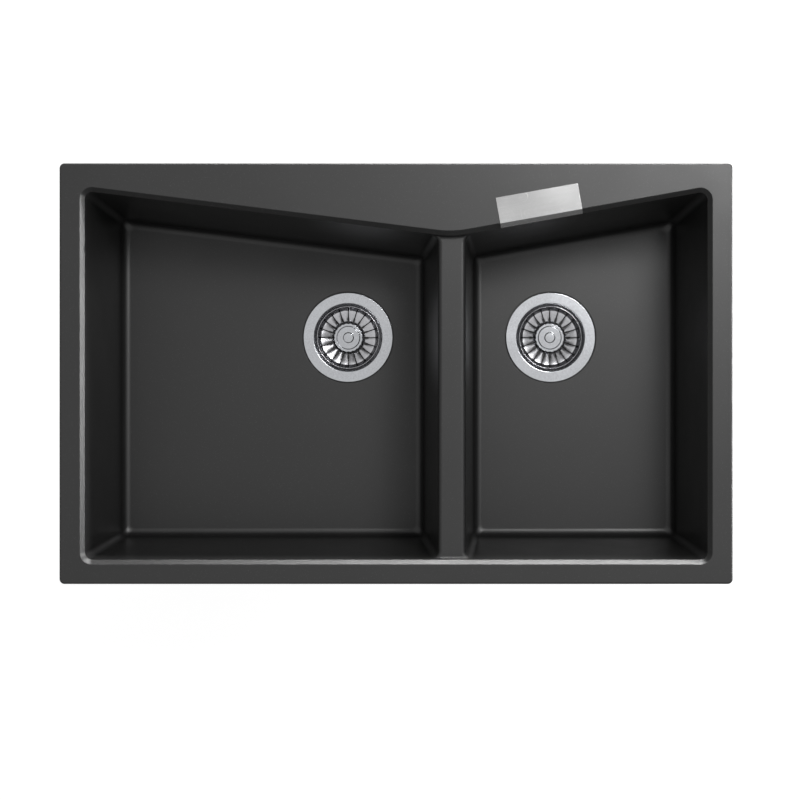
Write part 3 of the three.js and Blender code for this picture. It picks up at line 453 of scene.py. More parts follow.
def ring_of_copies():
    """Copies of a shape turned about Z, welded where they meet."""
    tree, given, result = geometry_tree("ring_of_copies", {"Count": 20, "Weld": 0.00001})
    spots = output_of(tree, "GeometryNodePoints", {"Count": given["Count"]})
    share = calculate(tree, "DIVIDE", output_of(tree, "GeometryNodeInputIndex"), given["Count"])
    angle = calculate(tree, "MULTIPLY", share, 2 * pi)
    spin = output_of(tree, "ShaderNodeCombineXYZ", {"Z": angle})
    links = {"Points": spots, "Instance": given["Geometry"], "Rotation": spin}
    copies = output_of(tree, "GeometryNodeInstanceOnPoints", links)
    real = output_of(tree, "GeometryNodeRealizeInstances", {"Geometry": copies})
    links = {"Geometry": real, "Distance": given["Weld"]}
    welded = output_of(tree, "GeometryNodeMergeByDistance", links)
    return finish_geometry(tree, welded, given["Material"], result)


def screw_thread():
    """The ridge of a screw thread, wound about Z upward from z = 0."""
    sizes = {"Radius": 0.0025, "Pitch": 0.0008, "Turns": 10.0, "Ridge": 0.0004, "Steps": 24}
    tree, given, result = geometry_tree("screw_thread", sizes)
    radius, turns = given["Radius"], given["Turns"]
    links = {"Resolution": given["Steps"], "Rotations": turns}
    links |= {"Start Radius": radius, "End Radius": radius}
    links["Height"] = calculate(tree, "MULTIPLY", given["Pitch"], turns)
    helix = output_of(tree, "GeometryNodeCurveSpiral", links)
    links = {"Resolution": 4, "Radius": given["Ridge"]}
    section = output_of(tree, "GeometryNodeCurvePrimitiveCircle", links)
    links = {"Curve": helix, "Profile Curve": section, "Fill Caps": True}
    ridge = output_of(tree, "GeometryNodeCurveToMesh", links)
    return finish_geometry(tree, ridge, given["Material"], result)


def grow(piece, tree, **values):
    """Runs a geometry tree on a piece and leaves a plain mesh."""
    modifier = piece.modifiers.new(tree.name, "NODES")
    modifier.node_group = tree
    for item in tree.interface.items_tree:
        if item.item_type == "SOCKET" and item.in_out == "INPUT" and item.name in values:
            modifier[item.identifier] = values[item.name]
    return settle(piece)


RING_OF_COPIES = ring_of_copies()
SCREW_THREAD = screw_thread()


def thread(radius, pitch, ridge, bottom, top, material, steps=24):
    """A thread's ridge, its crest at the given radius, between two heights."""
    sizes = {"Radius": (radius - ridge) * MM, "Pitch": pitch * MM, "Ridge": ridge * MM}
    sizes |= {"Turns": (top - bottom - 2 * ridge) / pitch, "Steps": steps, "Material": material}
    piece = grow(add_object(bpy.data.meshes.new("thread")), SCREW_THREAD, **sizes)
    return place(face_outwards(piece), z=bottom + ridge)


# ---- shared effects

FLECK_REACH, FLECK_RARITY, GRAIN_SHARE, MOTTLE_SHARE = 0.24, 0.82, 0.45, 0.55
RING_SLOPE = 0.7  # how far a unit of height shifts the rings
SCRATCH_BEND, SCRATCH_THIN, SCRATCH_WIDTH = 9.0, (0.05, 1.0, 1.0), 0.006
TONE_SCALE = 40.0


def effect_tree(name, scales, outputs):
    """A shader group that reads a vector and puts out values."""
    inputs = {"Vector": "Vector", **scales}
    return new_tree(name, "ShaderNodeTree", inputs, dict.fromkeys(outputs, "Float"))


def deliver(tree, result, **sources):
    for label, source in sources.items():
        tree.links.new(source, result[label])
    return tree


def stone_grain():
    """Fine quartz grain of a composite, with sparse lighter grains and slow mottling."""
    scales = {"Grain Scale": 1500.0, "Fleck Scale": 650.0, "Mottle Scale": 9.0}
    tree, given, result = effect_tree("stone_grain", scales, ("Tone", "Flecks", "Height"))
    vector = given["Vector"]
    grain = noise(tree, vector, given["Grain Scale"])
    mottle = noise(tree, vector, given["Mottle Scale"])
    links = {"Vector": vector, "Scale": given["Fleck Scale"]}
    cells = add_node(tree, "ShaderNodeTexVoronoi", links).outputs
    near = calculate(tree, "LESS_THAN", cells["Distance"], FLECK_REACH)
    chosen = output_of(tree, "ShaderNodeSeparateColor", {"Color": cells["Color"]})
    rare = calculate(tree, "GREATER_THAN", chosen, FLECK_RARITY)
    flecks = calculate(tree, "MULTIPLY", near, rare)
    fine = calculate(tree, "MULTIPLY", grain, GRAIN_SHARE)
    slow = calculate(tree, "MULTIPLY", mottle, MOTTLE_SHARE)
    tone = calculate(tree, "ADD", fine, slow)
    return deliver(tree, result, Tone=tone, Flecks=flecks, Height=grain)


def turned_rings():
    """Concentric tool marks about the pattern's own Z axis, and a painted sheen that makes the colour
    lighter and darker in broad sectors round it.
    """
    scales = {"Ring Scale": 3000.0, "Sweep Scale": 2.0}
    tree, given, result = effect_tree("turned_rings", scales, ("Rings", "Sweep"))
    x, y, z = add_node(tree, "ShaderNodeSeparateXYZ", {"Vector": given["Vector"]}).outputs
    squares = [calculate(tree, "MULTIPLY", side, side) for side in (x, y)]
    radius = calculate(tree, "SQRT", calculate(tree, "ADD", *squares))
    along = calculate(tree, "ADD", radius, calculate(tree, "MULTIPLY", z, RING_SLOPE))
    links = {"W": calculate(tree, "MULTIPLY", along, given["Ring Scale"]), "Scale": 1.0}
    rings = output_of(tree, "ShaderNodeTexNoise", links, noise_dimensions="1D")
    direction = on_vectors(tree, "NORMALIZE", given["Vector"])
    painted_sheen = noise(tree, direction, given["Sweep Scale"], Detail=1.0)
    return deliver(tree, result, Rings=rings, Sweep=painted_sheen)


def brushed_lines():
    """Straight brushing along the pattern's X axis."""
    scales = {"Line Scale": 2500.0, "Stretch": 0.012}
    tree, given, result = effect_tree("brushed_lines", scales, ("Lines",))
    stretch = output_of(tree, "ShaderNodeCombineXYZ", {0: given["Stretch"], 1: 1.0, 2: 1.0})
    drawn = on_vectors(tree, "MULTIPLY", given["Vector"], stretch)
    return deliver(tree, result, Lines=noise(tree, drawn, given["Line Scale"]))


def use_marks():
    """Soft patches from wiping and water, crossed by a few fine scratches."""
    scales = {"Patch Scale": 14.0, "Scratch Scale": 130.0}
    tree, given, result = effect_tree("use_marks", scales, ("Patches", "Scratches"))
    patches = noise(tree, given["Vector"], given["Patch Scale"], Detail=4.0)
    bend = noise(tree, given["Vector"], given["Patch Scale"], Detail=1.0)
    links = {"Vector": given["Vector"], "Angle": calculate(tree, "MULTIPLY", bend, SCRATCH_BEND)}
    spun = output_of(tree, "ShaderNodeVectorRotate", links, rotation_type="Z_AXIS")
    thin = on_vectors(tree, "MULTIPLY", spun, SCRATCH_THIN)
    lines = noise(tree, thin, given["Scratch Scale"], Detail=0.0)
    middle = calculate(tree, "ABSOLUTE", calculate(tree, "SUBTRACT", lines, 0.5))
    scratches = map_range(tree, middle, (0.0, SCRATCH_WIDTH), (1.0, 0.0))
    return deliver(tree, result, Patches=patches, Scratches=scratches)


def moulded_skin():
    """The faint orange-peel of moulded rubber, plastic and plating."""
    tree, given, result = effect_tree("moulded_skin", {"Skin Scale": 1100.0}, ("Tone", "Height"))
    skin = noise(tree, given["Vector"], given["Skin Scale"])
    return deliver(tree, result, Tone=noise(tree, given["Vector"], TONE_SCALE), Height=skin)


STONE_GRAIN, TURNED_RINGS, BRUSHED_LINES = stone_grain(), turned_rings(), brushed_lines()
USE_MARKS, MOULDED_SKIN = use_marks(), moulded_skin()

# ---- materials

MIX_LOW, MIX_HIGH, MIX_RESULT = 6, 7, 2  # the colour sockets of a mix node
NOISE_SPAN = (0.3, 0.7)  # a noise mask's usual low and high


class Finish:
    """A material under construction: a Principled shader fed by the shared effects."""

    def __init__(self, name, metallic):
        self.material = bpy.data.materials.new(name)
        self.material.use_nodes = True
        self.tree = self.material.node_tree
        self.shader = self.tree.nodes["Principled BSDF"]
        self.shader.inputs["Metallic"].default_value = metallic
        self.vector = add_node(self.tree, "ShaderNodeTexCoord").outputs["Object"]

    def centre(self, x, y, turn=0.0):
        """Centres the patterns on a place in plan, in millimetres, turned about Z."""
        links = {"Vector": self.vector, "Location": Vector((x, y, 0)) * MM}
        links["Rotation"] = (0, 0, turn)
        self.vector = output_of(self.tree, "ShaderNodeMapping", links, vector_type="TEXTURE")

    def effect(self, group, **values):
        """An effect's outputs. Its inputs are named with _ for a space."""
        links = {label.replace("_", " "): value for label, value in values.items()}
        links["Vector"] = self.vector
        return add_node(self.tree, "ShaderNodeGroup", links, node_tree=group).outputs

    def mix(self, mask, low, high):
        """A colour from low to high by a mask."""
        links = {"Factor": mask, MIX_LOW: low, MIX_HIGH: high}
        return add_node(self.tree, "ShaderNodeMix", links, data_type="RGBA").outputs[MIX_RESULT]

    def done(self, colour, marks, roughness, height, depth, strength):
        """Wiped patches vary the roughness over a span. The bump's depth is in millimetres."""
        links = {"Height": height, "Distance": depth * MM, "Strength": strength}
        bump = output_of(self.tree, "ShaderNodeBump", links)
        rough = map_range(self.tree, marks["Patches"], NOISE_SPAN, roughness)
        sources = {"Base Color": colour, "Roughness": rough, "Normal": bump}
        deliver(self.tree, self.shader.inputs, **sources)
        return self.material


def shade(grey, tint=(1.0, 1.0, 1.0)):
    return (*(grey * share for share in tint), 1.0)


def composite_material():
    made = Finish("dark_composite", metallic=0.0)
    grain, marks = made.effect(STONE_GRAIN), made.effect(USE_MARKS)
    tone = made.mix(grain["Tone"], shade(0.006), shade(0.012))
    colour = made.mix(grain["Flecks"], tone, shade(0.035))
    return made.done(colour, marks, (0.38, 0.43), grain["Height"], 0.03, 0.25)


def turned_metal(name, middle, tint, roughness, ring_scale, depth):
    """Metal with tool marks round a waste's axis, and a painted sheen: lighter and darker sectors of
    colour round it that stand in for its reflections.
    """
    made = Finish(name, metallic=1.0)
    made.centre(*middle)
    tool = made.effect(TURNED_RINGS, Ring_Scale=ring_scale)
    marks = made.effect(USE_MARKS, Patch_Scale=30.0)
    grain = made.effect(MOULDED_SKIN, Skin_Scale=600.0)["Height"]
    # Painted sheen: the colour runs from a darker to a lighter grain mix in broad sectors round the
    # axis, standing in for the turned metal's reflections.
    painted_dark_sector = made.mix(grain, shade(0.76, tint), shade(1.08, tint))
    painted_light_sector = made.mix(grain, shade(0.9, tint), shade(1.24, tint))
    tone = made.mix(tool["Sweep"], painted_dark_sector, painted_light_sector)
    colour = made.mix(marks["Scratches"], tone, shade(1.15, tint))
    span = (roughness * 0.9, roughness * 1.15)
    return made.done(colour, marks, span, tool["Rings"], depth, 0.45)


def badge_material(x, y, turn):
    made = Finish("brushed_badge_plate", metallic=1.0)
    made.centre(x, y, turn)
    lines = made.effect(BRUSHED_LINES)["Lines"]
    marks = made.effect(USE_MARKS, Patch_Scale=25.0)
    tone = made.mix(lines, shade(0.35), shade(0.43))
    colour = made.mix(marks["Scratches"], tone, shade(0.52))
    return made.done(colour, marks, (0.17, 0.21), lines, 0.01, 0.2)


def moulded_material(name, metallic, low, high, roughness, depth):
    """Plastic, rubber, zinc plate and plain brass."""
    made = Finish(name, metallic)
    skin = made.effect(MOULDED_SKIN)
    marks = made.effect(USE_MARKS, Patch_Scale=40.0)
    colour, span = made.mix(skin["Tone"], low, high), (roughness * 0.85, roughness * 1.15)
    return made.done(colour, marks, span, skin["Height"], depth, 0.3)


# ---- bowl walls

OPENING_X = RIM_LENGTH / 2 - LAND_SIDE
OPENING_FRONT = -RIM_DEPTH / 2 + LAND_FRONT
OPENING_BACK = RIM_DEPTH / 2 - LAND_BACK_CORNER
NOSE_Y = RIM_DEPTH / 2 - DECK_AT_NOSE
FRONT_LEFT, FRONT_RIGHT, BACK_RIGHT, NOSE, BACK_LEFT = range(5)
OPENING = [Vector((x, OPENING_FRONT)) for x in (-OPENING_X, OPENING_X)]
OPENING += [Vector((OPENING_X, OPENING_BACK)), Vector((DIVIDER_X, NOSE_Y))]
OPENING.append(Vector((-OPENING_X, OPENING_BACK)))

WALL_TOP_INSET = OPENING_BEVEL * cos(DRAFT)
WALL_TOP_Z = RIM_TOP - OPENING_BEVEL + OPENING_BEVEL * sin(DRAFT)
BEVEL_TOP = Vector((BEVEL_TOP_EASE / 2, RIM_TOP))
BEVEL_FOOT = Vector((WALL_TOP_INSET, WALL_TOP_Z))


def wall_inset(z, offset=0.0):
    """How far inside the opening's outline a wall stands at a height."""
    return WALL_TOP_INSET + (WALL_TOP_Z - z) * tan(DRAFT) - offset / cos(DRAFT)


FLOOR_ROUND_Z = BOWL_FLOOR + FLOOR_ROUND
WALL_FOOT_INSET = wall_inset(FLOOR_ROUND_Z - FLOOR_ROUND * sin(DRAFT))
FLOOR_ROUND_INSET = WALL_FOOT_INSET + FLOOR_ROUND * cos(DRAFT)


def floor_round(offset=0.0):
    """The wall's rounded foot as (inset, z), from the top down."""
    radius = FLOOR_ROUND + offset
    angles = [DRAFT + (pi / 2 - DRAFT) * i / FILLET_STEPS for i in range(FILLET_STEPS + 1)]
    return [(FLOOR_ROUND_INSET - radius * cos(a), FLOOR_ROUND_Z - radius * sin(a)) for a in angles]


def opening_edge():
    """The rim's bevelled edge into the bowls as (inset, z), from the top down."""
    land, wall = BEVEL_TOP - Vector((1, 0)), Vector((wall_inset(0), 0))
    edge = corner_arc(land, BEVEL_TOP, BEVEL_FOOT, BEVEL_TOP_EASE, EDGE_STEPS)
    edge += corner_arc(BEVEL_TOP, BEVEL_FOOT, wall, BEVEL_FOOT_EASE, EDGE_STEPS)
    return [tuple(point) for point in edge]


def lean_left(corners, inset):
    """The left bowl's outer wall leans in more than the others."""
    share = (inset - WALL_TOP_INSET) / (WALL_FOOT_INSET - WALL_TOP_INSET)
    shift = LEFT_WALL_LEAN * min(max(share, 0), 1)
    front, back, nose = corners[FRONT_LEFT], corners[BACK_LEFT], corners[NOSE]
    corners[FRONT_LEFT] = front + Vector((shift, 0))
    corners[BACK_LEFT] = back.lerp(nose, shift / (nose.x - back.x))
    return corners


def corner_radius(inset):
    """The bowls' upright corner radius shrinks from the opening to the floor."""
    if inset < WALL_TOP_INSET:
        return OPENING_CORNER_RADIUS - inset
    share = (inset - WALL_TOP_INSET) / (FLOOR_ROUND_INSET - WALL_TOP_INSET)
    return WALL_CORNER_RADIUS + (FLOOR_CORNER_RADIUS - WALL_CORNER_RADIUS) * share


def opening_outline(inset):
    radii, steps = [corner_radius(inset)] * len(OPENING), [CORNER_STEPS] * len(OPENING)
    radii[NOSE], steps[NOSE] = NOSE_RADIUS + inset, NOSE_STEPS
    return rounded_outline(lean_left(inset_polygon(OPENING, inset), inset), radii, steps)


SHOULDER_HALF = DIVIDER_TOP_WIDTH / 2 + DIVIDER_EDGE_ROUND * cos(DRAFT)
SHOULDER_INSET = wall_inset(DIVIDER_TOP - DIVIDER_EDGE_ROUND * (1 - sin(DRAFT)))


def divider_half(inset):
    """Half of the divider's width where the bowls' walls have a given inset."""
    return SHOULDER_HALF + inset - SHOULDER_INSET


def bowl_polygon(side, inset, half, offset=0.0):
    """One bowl's four corners, its divider face a half width from the divider's middle.
    Side is -1 for the left bowl, +1 for the right."""
    corners = lean_left(inset_polygon(OPENING, inset), inset + offset / cos(DRAFT))
    face = DIVIDER_X + side * (half - offset / cos(DRAFT))
    front = Vector((face, corners[FRONT_LEFT].y))
    outer, nose = corners[BACK_LEFT if side < 0 else BACK_RIGHT], corners[NOSE]
    back = outer.lerp(nose, (face - outer.x) / (nose.x - outer.x))
    if side < 0:
        return [corners[FRONT_LEFT], front, back, outer]
    return [front, corners[FRONT_RIGHT], outer, back]


def opening_hollow():
    levels = [(opening_outline(0), RIM_TOP + THROUGH)]
    levels += [(opening_outline(inset), z) for inset, z in opening_edge() + floor_round()]
    return loft(levels)


def divider_outline(half, inset):
    """The divider in plan, flared at both ends to the bowls' upright corners."""
    left, right = bowl_polygon(-1, inset, half), bowl_polygon(1, inset, half)

    def flare(bowl, *corners):
        return corner_arc(*[bowl[i] for i in corners], corner_radius(inset), CORNER_STEPS)

    right_front, right_back = flare(right, 1, 0, 3), flare(right, 0, 3, 2)
    left_back, left_front = flare(left, 3, 2, 1), flare(left, 2, 1, 0)
    reach = Vector((0, WALL + THROUGH))
    outline = [left_front[-1] - reach, right_front[0] - reach, *right_front, *right_back]
    return [*outline, right_back[-1] + reach, left_back[0] + reach, *left_back, *left_front]


def divider_bar():
    levels = []
    for i in range(EDGE_STEPS + 1):
        angle = (pi / 2 - DRAFT) * i / EDGE_STEPS
        half = DIVIDER_TOP_WIDTH / 2 + DIVIDER_EDGE_ROUND * sin(angle)
        z = DIVIDER_TOP - DIVIDER_EDGE_ROUND * (1 - cos(angle))
        levels.append((divider_outline(half, wall_inset(z)), z))
    levels += [(divider_outline(divider_half(inset), inset), z) for inset, z in floor_round()]
    return loft([*levels, (levels[-1][0], BOWL_FLOOR - THROUGH)])


def wall_at(outline, x, end):
    """Where the front (end -1) or back (+1) of an outline crosses x."""
    for a, b in zip(outline, outline[1:] + outline[:1]):
        if a.x != b.x and min(a.x, b.x) <= x <= max(a.x, b.x) and end * (a.y + b.y) > 0:
            return a.y + (b.y - a.y) * (x - a.x) / (b.x - a.x)


def divider_end_fillet(end):
    """The soft corner between the divider's top and the front (-1) or back (+1) wall."""
    inset = wall_inset(DIVIDER_TOP)
    flare, outline = corner_radius(inset), opening_outline(inset)
    half, rings = DIVIDER_TOP_WIDTH / 2, []
    for i in range(END_FILLET_RINGS + 1):
        across = (2 * i / END_FILLET_RINGS - 1) * (half + flare * END_FILLET_REACH)
        x = DIVIDER_X + across
        wall = wall_at(outline, x, end)
        into = min(half + flare - abs(across), flare)
        radius = max(min(DIVIDER_END_FILLET, flare - sqrt(flare**2 - into**2)), END_FILLET_LEAST)
        foot = radius * (1 - sin(DRAFT)) / cos(DRAFT)
        bend = arc((foot, radius), radius, 270, 180 + degrees(DRAFT), EDGE_STEPS)
        section = [(foot, END_FILLET_BELOW), *bend, (END_FILLET_BEHIND, bend[-1][1])]
        section.append((END_FILLET_BEHIND, END_FILLET_BELOW))
        rings.append([(x, wall - end * y, DIVIDER_TOP + z) for y, z in section])
    return through_rings(rings)


# ---- sink body

CLIP_REACH = CUTOUT_LANDING + CLIP_BOSS_RADIUS + CLIP_EDGE_CLEARANCE
CLIP_X, CLIP_Y = RIM_LENGTH / 2 - CLIP_REACH, RIM_DEPTH / 2 - CLIP_REACH
# name: (x, y, direction in plan towards the cut-out's nearest edge)
CLIPS = {f"front_clip_{i + 1}": (x, -CLIP_Y, -pi / 2) for i, x in enumerate(CLIP_FRONT_X)}
CLIPS |= {f"back_clip_{i + 1}": (x, CLIP_Y, pi / 2) for i, x in enumerate(CLIP_BACK_X)}
CLIPS |= {"left_clip": (-CLIP_X, CLIP_SIDE_Y, pi), "right_clip": (CLIP_X, CLIP_SIDE_Y, 0.0)}
TAP_Y = RIM_DEPTH / 2 - TAP_FROM_BACK
KNOCKOUTS = [(DIVIDER_X, TAP_Y), (DIVIDER_X - CONTROL_FROM_TAP, TAP_Y)]

INSERT_BOTTOM = -CLIP_BOSS_HEIGHT + INSERT_DEPTH
INSERT_TOP = INSERT_BOTTOM + INSERT_LENGTH
SCREW_TOP = INSERT_BOTTOM + SCREW_ENGAGEMENT
SCREW_HOLE_TOP = SCREW_TOP + CLIP_TRAVEL + GAP
FLANGE_RECESS = FLANGE_THICKNESS + GASKET_THICKNESS + 2 * GAP


def rim_outline(inset):
    length, depth = RIM_LENGTH / 2 - inset, RIM_DEPTH / 2 - inset
    corners = [Vector((x * length, y * depth)) for x, y in SQUARE]
    return rounded_outline(corners, [max(RIM_CORNER_RADIUS - inset, GAP)] * 4, [CORNER_STEPS] * 4)


def rim_slab():
    section = arc((RIM_UNDER_ROUND, RIM_UNDER_ROUND), RIM_UNDER_ROUND, 270, 180, 4)
    top = (RIM_EDGE_ROUND, RIM_TOP - RIM_EDGE_ROUND)
    section += arc(top, RIM_EDGE_ROUND, 180, 90, EDGE_STEPS)
    return loft([(rim_outline(inset), z) for inset, z in section])


def rim_band(width, bottom, top):
    inside = prism(rim_outline(SEAL_INSET + width / 2), bottom - THROUGH, top + THROUGH)
    return cut(prism(rim_outline(SEAL_INSET - width / 2), bottom, top), inside)


def tub(side):
    """A bowl's outer shape."""
    levels, middle = [], RIM_THICKNESS / 2
    for inset, z in [(wall_inset(middle, WALL), middle), *floor_round(WALL)]:
        polygon = bowl_polygon(side, inset, divider_half(inset + WALL / cos(DRAFT)), WALL)
        radius = WALL + corner_radius(max(inset + WALL, WALL_TOP_INSET))
        levels.append((rounded_outline(polygon, [radius] * 4, [CORNER_STEPS] * 4), z))
    return loft(levels)


def divider_web():
    half, offset = DIVIDER_WEB_WIDTH / 2, wall_inset(0, WALL)
    low = (DIVIDER_X - half, OPENING_FRONT + offset, DIVIDER_TOP - WALL)
    return block(low, (DIVIDER_X + half, NOSE_Y - offset, RIM_THICKNESS / 2))


def puck(radius, bottom, top, foot_round, head_round):
    corners = [(0, bottom), (radius, bottom, foot_round), (radius, top, head_round), (0, top)]
    return lathe(corners, SMALL_SIDES)


def boss(x, y, radius, height):
    return place(puck(radius, -height, RIM_THICKNESS / 2, BOSS_ROUND, 0), x, y)


def insert_hole(x, y):
    bottom, step = -CLIP_BOSS_HEIGHT - THROUGH, INSERT_TOP + GAP
    wide, narrow = INSERT_RADIUS + GAP, SCREW_RADIUS + GAP
    profile = [(0, bottom), (wide, bottom), (wide, step), (narrow, step)]
    profile += [(narrow, SCREW_HOLE_TOP), (0, SCREW_HOLE_TOP)]
    return place(turned(profile, SMALL_SIDES), x, y)


def knockout(x, y):
    bottom, top = -KNOCKOUT_BOSS_HEIGHT - THROUGH, RIM_TOP - KNOCKOUT_SKIN
    return cylinder(KNOCKOUT_RADIUS, bottom, top, HIDDEN_SIDES, x, y)


def drain_hole(x, y):
    recess, shelf = FLANGE_RADIUS + FLANGE_RECESS_CLEARANCE, BOWL_FLOOR - FLANGE_RECESS
    bottom, top, lip = TUB_UNDERSIDE - THROUGH, BOWL_FLOOR + THROUGH, recess + DRAIN_LIP
    profile = [(0, bottom), (DRAIN_HOLE_RADIUS, bottom), (DRAIN_HOLE_RADIUS, shelf)]
    profile += [(recess, shelf), *arc((lip, BOWL_FLOOR - DRAIN_LIP), DRAIN_LIP, 180, 90, 4)]
    return place(turned([*profile, (lip, top), (0, top)], ROUND_SIDES), x, y)


def sink_body():
    bosses = [boss(x, y, CLIP_BOSS_RADIUS, CLIP_BOSS_HEIGHT) for x, y, _ in CLIPS.values()]
    bosses += [boss(x, y, KNOCKOUT_BOSS_RADIUS, KNOCKOUT_BOSS_HEIGHT) for x, y in KNOCKOUTS]
    body = join(rim_slab(), tub(-1), tub(1), divider_web(), gather(bosses))
    cut(body, cut(opening_hollow(), divider_bar()))
    join(body, gather([divider_end_fillet(-1), divider_end_fillet(1)]))
    groove = rim_band(SEAL_WIDTH + 2 * GAP, -THROUGH, SEAL_THICKNESS + GAP)
    holes = [insert_hole(x, y) for x, y, _ in CLIPS.values()]
    holes += [knockout(x, y) for x, y in KNOCKOUTS]
    holes += [drain_hole(x, y) for x, y in WASTES.values()]
    return cut(body, groove, gather(holes))


# ---- badge plate

ALONG_EDGE = OPENING[BACK_RIGHT] - OPENING[NOSE]
RIGHT_EDGE_TURN = atan2(ALONG_EDGE.y, ALONG_EDGE.x)


def badge_plate():
    """Folded from sheet: it lies on the deck, and its lip on the opening's bevel."""
    fold = Vector((-BEVEL_TOP.x, RIM_TOP))
    slope = (Vector((-BEVEL_FOOT.x, WALL_TOP_Z)) - fold).normalized()
    out = Vector((slope.y, -slope.x))
    back = BADGE_DEPTH - OPENING_BEVEL / 3

    def layer(height, rounding):
        bend = fold + out * height + slope * height * (1 - out.y) / slope.y
        end = fold + out * height + slope * BADGE_LIP_LENGTH
        return [(back, RIM_TOP + height), (*bend, rounding), tuple(end)]

    top = layer(GAP + BADGE_THICKNESS, BADGE_FOLD_ROUND)
    section = rounded_profile([*top, *reversed(layer(GAP, BADGE_FOLD_INSIDE))])
    plate = along_x(section, BADGE_FROM_NOSE, BADGE_FROM_NOSE + BADGE_LENGTH)
    return place(soften(plate, BADGE_EDGE_ROUND, 60), DIVIDER_X, NOSE_Y, turn=RIGHT_EDGE_TURN)


# ---- waste outlets

# Heights here are measured down from the bowl floor (z = 0), about the outlet's axis.

THROAT = SEAT_RADIUS - SEAT_WIDTH
BORE = BOLT_RADIUS + GAP
LOWER_SEAL_TOP = -WALL - GAP
LOWER_SEAL_BOTTOM = LOWER_SEAL_TOP - LOWER_SEAL_THICKNESS
BODY_TOP = LOWER_SEAL_BOTTOM - GAP
BODY_CONE_BOTTOM = -BODY_CUP_DEPTH - BODY_CONE_HEIGHT
TAIL_END = BODY_CONE_BOTTOM - TAIL_LENGTH
BODY_HUB_TOP = -CUP_DEPTH - GAP - BODY_HUB_HEIGHT / 3
BODY_HUB_BOTTOM = BODY_HUB_TOP - BODY_HUB_HEIGHT
BOLT_HEAD_BOTTOM = -CUP_DEPTH + SPIDER_THICKNESS + GAP
BOLT_HEAD_TOP = BOLT_HEAD_BOTTOM + BOLT_HEAD_HEIGHT
SOCKET_FLOOR = BOLT_HEAD_TOP - BOLT_SOCKET_DEPTH


def add_spider(piece, reach, width, hub, bottom, top, ease, foot_round):
    """Adds four arms and a hub that is drilled for the bolt."""
    join(piece, eased_prism(cross_outline(reach, width / 2), bottom, top, ease))
    join(piece, puck(hub, bottom, top, foot_round, 0.6))
    return drilled(piece, BORE, bottom - THROUGH, THROUGH)


def flange_cup():
    outer, throat, under = CUP_RADIUS + CUP_SHEET, THROAT + CUP_SHEET, -SEAT_DEPTH - CUP_SHEET
    corners = [
        (FLANGE_RADIUS, -FLANGE_THICKNESS), (FLANGE_RADIUS, 0, 0.6),
        (CUP_RADIUS, 0, FLANGE_EDGE_ROUND), (CUP_RADIUS, -CUP_WALL_DEPTH, 3),
        (SEAT_RADIUS, -SEAT_DEPTH, 0.8), (THROAT, -SEAT_DEPTH, 0.5), (THROAT, -CUP_DEPTH),
        (throat, -CUP_DEPTH), (throat, under), (SEAT_RADIUS + CUP_SHEET / 2, under, 1.5),
        (outer, -CUP_WALL_DEPTH - CUP_SHEET / 2, 4), (outer, -FLANGE_THICKNESS),
    ]
    reach, low = THROAT + CUP_SHEET / 2, -CUP_DEPTH
    arms = (reach, SPIDER_WIDTH, SPIDER_HUB_RADIUS, low, low + SPIDER_THICKNESS, 0.4, 0.4)
    return add_spider(lathe(corners, ROUND_SIDES, 6), *arms)


def flange_gasket():
    outer, top = FLANGE_RADIUS - GAP, -FLANGE_THICKNESS - GAP
    return turned_ring(outer, outer - GASKET_WIDTH, top - GASKET_THICKNESS, top, 0.25, ROUND_SIDES)


def lower_seal():
    low, high = LOWER_SEAL_BOTTOM, LOWER_SEAL_TOP
    return turned_ring(BODY_FLANGE_RADIUS, DRAIN_HOLE_RADIUS, low, high, 0.8, HIDDEN_SIDES)


def waste_body(material):
    flange, flange_bottom = BODY_FLANGE_RADIUS, BODY_TOP - BODY_FLANGE_THICKNESS
    inner, outer = DRAIN_HOLE_RADIUS, DRAIN_HOLE_RADIUS + BODY_WALL
    core, collar_end = TAIL_RADIUS - TAIL_RIDGE, BODY_CONE_BOTTOM - TAIL_COLLAR
    corners = [
        (inner, BODY_TOP, 0.5), (inner, -BODY_CUP_DEPTH, 4), (TAIL_BORE, BODY_CONE_BOTTOM, 4),
        (TAIL_BORE, TAIL_END, 0.5), (core, TAIL_END, 0.8), (core, collar_end),
        (TAIL_RADIUS, collar_end, 0.3), (TAIL_RADIUS, BODY_CONE_BOTTOM, 2),
        (outer, -BODY_CUP_DEPTH, 6), (outer, flange_bottom, 1), (flange, flange_bottom, 0.8),
        (flange, BODY_TOP, 0.5),
    ]
    ribs = (inner + BODY_WALL / 2, BODY_RIB_WIDTH, BODY_HUB_RADIUS, BODY_HUB_BOTTOM, BODY_HUB_TOP)
    body = add_spider(lathe(corners, HIDDEN_SIDES, 5), *ribs, 0.5, 0.6)
    pocket_top = BODY_HUB_BOTTOM + NUT_HEIGHT + GAP
    pocket = circle(NUT_RADIUS + GAP, NUT_SIDES)
    cut(body, prism(pocket, BODY_HUB_BOTTOM - THROUGH, pocket_top))
    low, high = TAIL_END + THREAD_START, collar_end
    return gather([body, thread(TAIL_RADIUS, TAIL_PITCH, TAIL_RIDGE, low, high, material, 48)])


def centre_bolt(material):
    core, plain_end, head = BOLT_RADIUS - BOLT_RIDGE, -CUP_DEPTH - GAP, BOLT_HEAD_RADIUS
    corners = [
        (0, BODY_HUB_BOTTOM), (core, BODY_HUB_BOTTOM, 0.4), (core, plain_end),
        (BOLT_RADIUS, plain_end), (BOLT_RADIUS, BOLT_HEAD_BOTTOM), (head, BOLT_HEAD_BOTTOM, 0.4),
        (head, BOLT_HEAD_TOP, 0.9), (BOLT_SOCKET_RADIUS, BOLT_HEAD_TOP, 0.3),
        (BOLT_SOCKET_RADIUS, SOCKET_FLOOR), (0, SOCKET_FLOOR),
    ]
    low = BODY_HUB_BOTTOM + THREAD_START
    wound = thread(BOLT_RADIUS, BOLT_PITCH, BOLT_RIDGE, low, plain_end, material)
    return gather([lathe(corners, SMALL_SIDES), wound])


